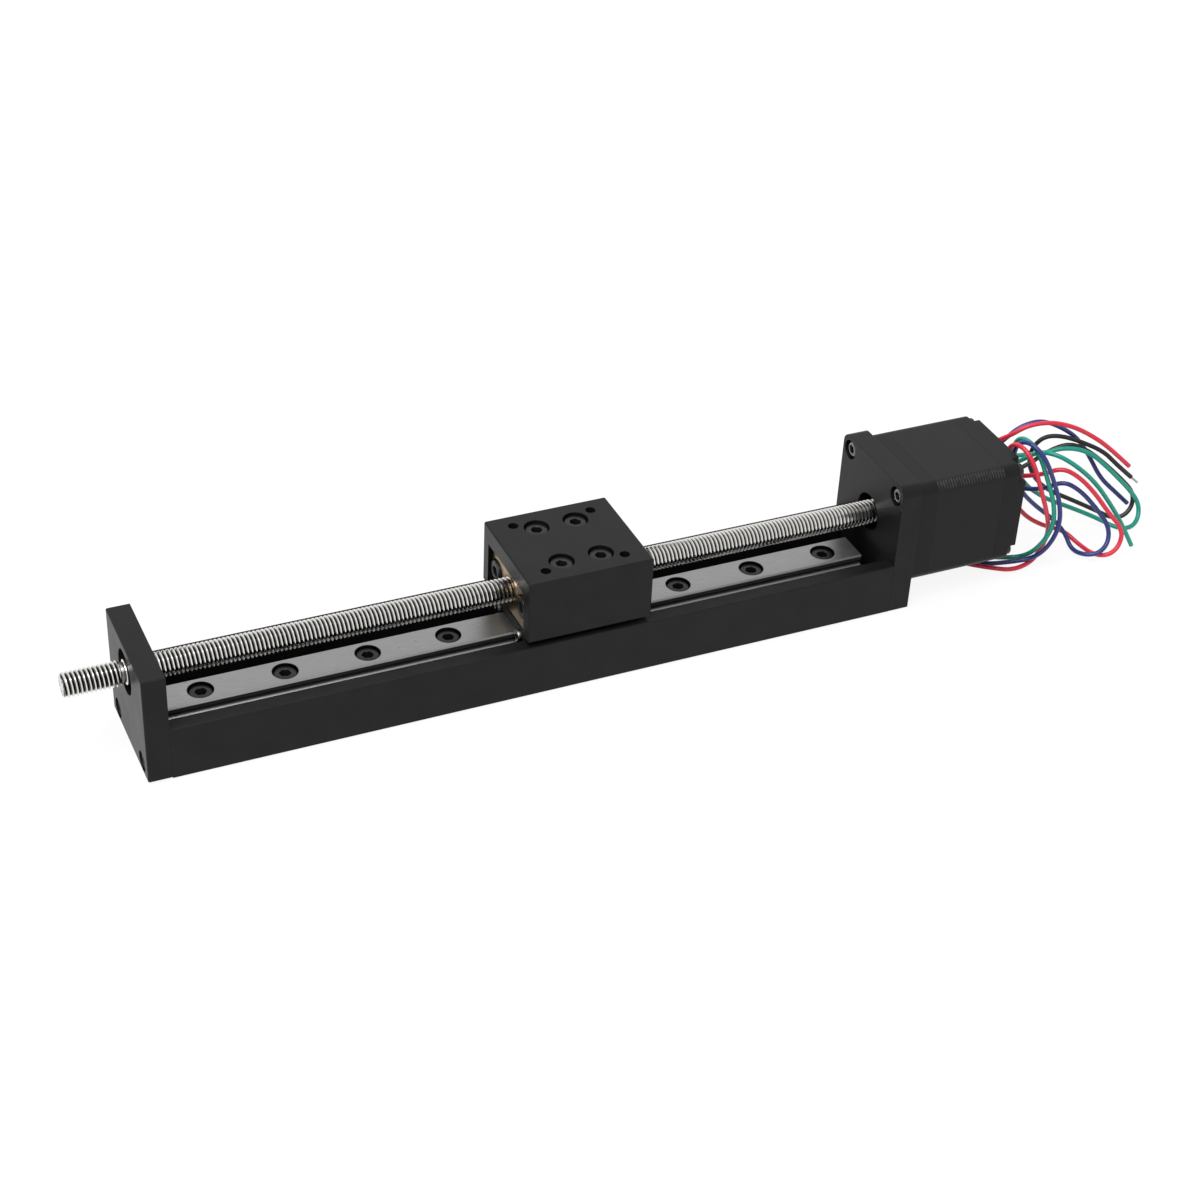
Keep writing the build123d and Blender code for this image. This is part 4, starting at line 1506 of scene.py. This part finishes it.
@dataclass(frozen=True)
class Studio:
    """The floor, the lights and the camera.

    Attributes:
        lens: The camera's focal length.
        sensor: The width of its sensor.
        azimuth: The camera's turn round the object, in degrees.
        elevation: Its height angle, in degrees.
        roll: Its turn about its own axis, in degrees.
        distance: Its distance from the target.
        target: The point that it looks at.
        clip: The nearest and farthest distance that it sees.
        floor_size: The side of the floor's square.
        floor_drop: How far the floor lies under the object.
        floor_tone: The floor's own tone.
        floor_whiteness: The share of plain white that the camera sees on it.
        ambient: The room's light on the object.
        background: The room's brightness to the camera and in reflections.
        lamps: The lamps.
        lit_point: The point that the lamps look at.
    """

    lens: float = 72.16
    sensor: float = 36.0
    azimuth: float = -25.643
    elevation: float = 35.244
    roll: float = -3.045
    distance: float = 528.166
    target: Point = (0.5, -38.148, 41.359)
    clip: tuple[float, float] = (10.0, 20000.0)
    floor_size: float = 8000.0
    floor_drop: float = 0.4
    floor_tone: float = 0.9
    floor_whiteness: float = 0.9
    ambient: float = 0.55
    background: float = 1.0
    lamps: tuple[Lamp, ...] = (
        Lamp("key", (-350.0, -250.0, 900.0), 700.0, 11.0, True),
        Lamp("fill", (500.0, 600.0, 600.0), 500.0, 4.0, False),
    )
    lit_point: Point = (10.0, 0.0, 15.0)

    def camera(self) -> None:
        """Puts the camera at the photograph's viewpoint."""
        az, el, roll = (math.radians(a) for a in (self.azimuth, self.elevation, self.roll))
        back = Vector((math.sin(az) * math.cos(el), -math.cos(az) * math.cos(el), math.sin(el)))
        right = Vector((math.cos(az), math.sin(az), 0.0))
        up = back.cross(right)
        turned_right = right * math.cos(roll) - up * math.sin(roll)
        turned_up = right * math.sin(roll) + up * math.cos(roll)
        data = bpy.data.cameras.new("camera")
        data.lens = self.lens
        data.sensor_width = self.sensor
        data.clip_start, data.clip_end = (limit * MM for limit in self.clip)
        camera = placed(data, "camera")
        spot = (Vector(self.target) + back * self.distance) * MM
        axes = Matrix((turned_right, turned_up, back)).transposed().to_4x4()
        camera.matrix_world = Matrix.Translation(spot) @ axes
        bpy.context.scene.camera = camera

    @staticmethod
    def seen_share(maker: NodeMaker) -> Socket:
        """Tells what is seen from the light that only falls on the object.

        Args:
            maker: The maker of the tree that asks.

        Returns:
            1 to the camera, in reflections and through glass, 0 to other light.
        """
        path = maker.add("ShaderNodeLightPath").outputs
        mirrored = maker.math("MAXIMUM", path["Is Glossy Ray"], path["Is Transmission Ray"])
        return maker.math("MAXIMUM", path["Is Camera Ray"], mirrored)

    def world(self) -> None:
        """A soft even room whose background is white to the camera and in reflections."""
        world = bpy.data.worlds.new("room")
        bpy.context.scene.world = world
        world.use_nodes = True
        world.node_tree.nodes.clear()
        maker = NodeMaker(world.node_tree)
        level = maker.add("ShaderNodeMapRange", {
            "Value": self.seen_share(maker), "To Min": self.ambient, "To Max": self.background})
        shade = maker.add("ShaderNodeBackground", {"Color": WHITE, "Strength": level.outputs[0]})
        maker.add("ShaderNodeOutputWorld", {"Surface": shade.outputs[0]})

    def floor(self) -> None:
        """The pale floor, which stays white to the camera and keeps a soft shadow."""
        half, low = self.floor_size / 2 * MM, -self.floor_drop * MM
        mesh = bpy.data.meshes.new("floor")
        mesh.from_pydata([(-half, -half, low), (half, -half, low), (half, half, low), (-half, half, low)],
                         [], [(0, 1, 2, 3)])
        material = bpy.data.materials.new("floor")
        material.use_nodes = True
        material.node_tree.nodes.clear()
        maker = NodeMaker(material.node_tree)
        matt = maker.add("ShaderNodeBsdfDiffuse", {"Color": (*[self.floor_tone] * 3, 1.0)})
        glow = maker.add("ShaderNodeEmission", {"Color": WHITE})
        share = maker.math("MULTIPLY", self.seen_share(maker), self.floor_whiteness)
        mix = maker.add("ShaderNodeMixShader", {0: share, 1: matt.outputs[0], 2: glow.outputs[0]})
        maker.add("ShaderNodeOutputMaterial", {"Surface": mix.outputs[0]})
        mesh.materials.append(material)
        placed(mesh, "floor")

    def build(self) -> None:
        """Makes the whole studio."""
        bpy.context.scene.view_settings.view_transform = "Standard"
        self.world()
        self.floor()
        for lamp in self.lamps:
            lamp.build(self.lit_point)
        self.camera()
        LOG.info("the studio is ready")


def main() -> None:
    """Builds the dressed slide table in order."""
    logging.basicConfig(level=logging.INFO, format="%(name)s: %(message)s")
    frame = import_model()
    slots = {part["node"]: part["material_slot"] for part in frame["record"]["subparts"]}
    shop = Workshop(frame["nodes"], slots)
    Studio().build()
    shop.paint_nodes()
    MotorLeads().build(shop)
    LeadScrew().build(shop)
    Metalwork().build(shop)
    Fasteners().build(shop)


if __name__ == "__main__":
    main()
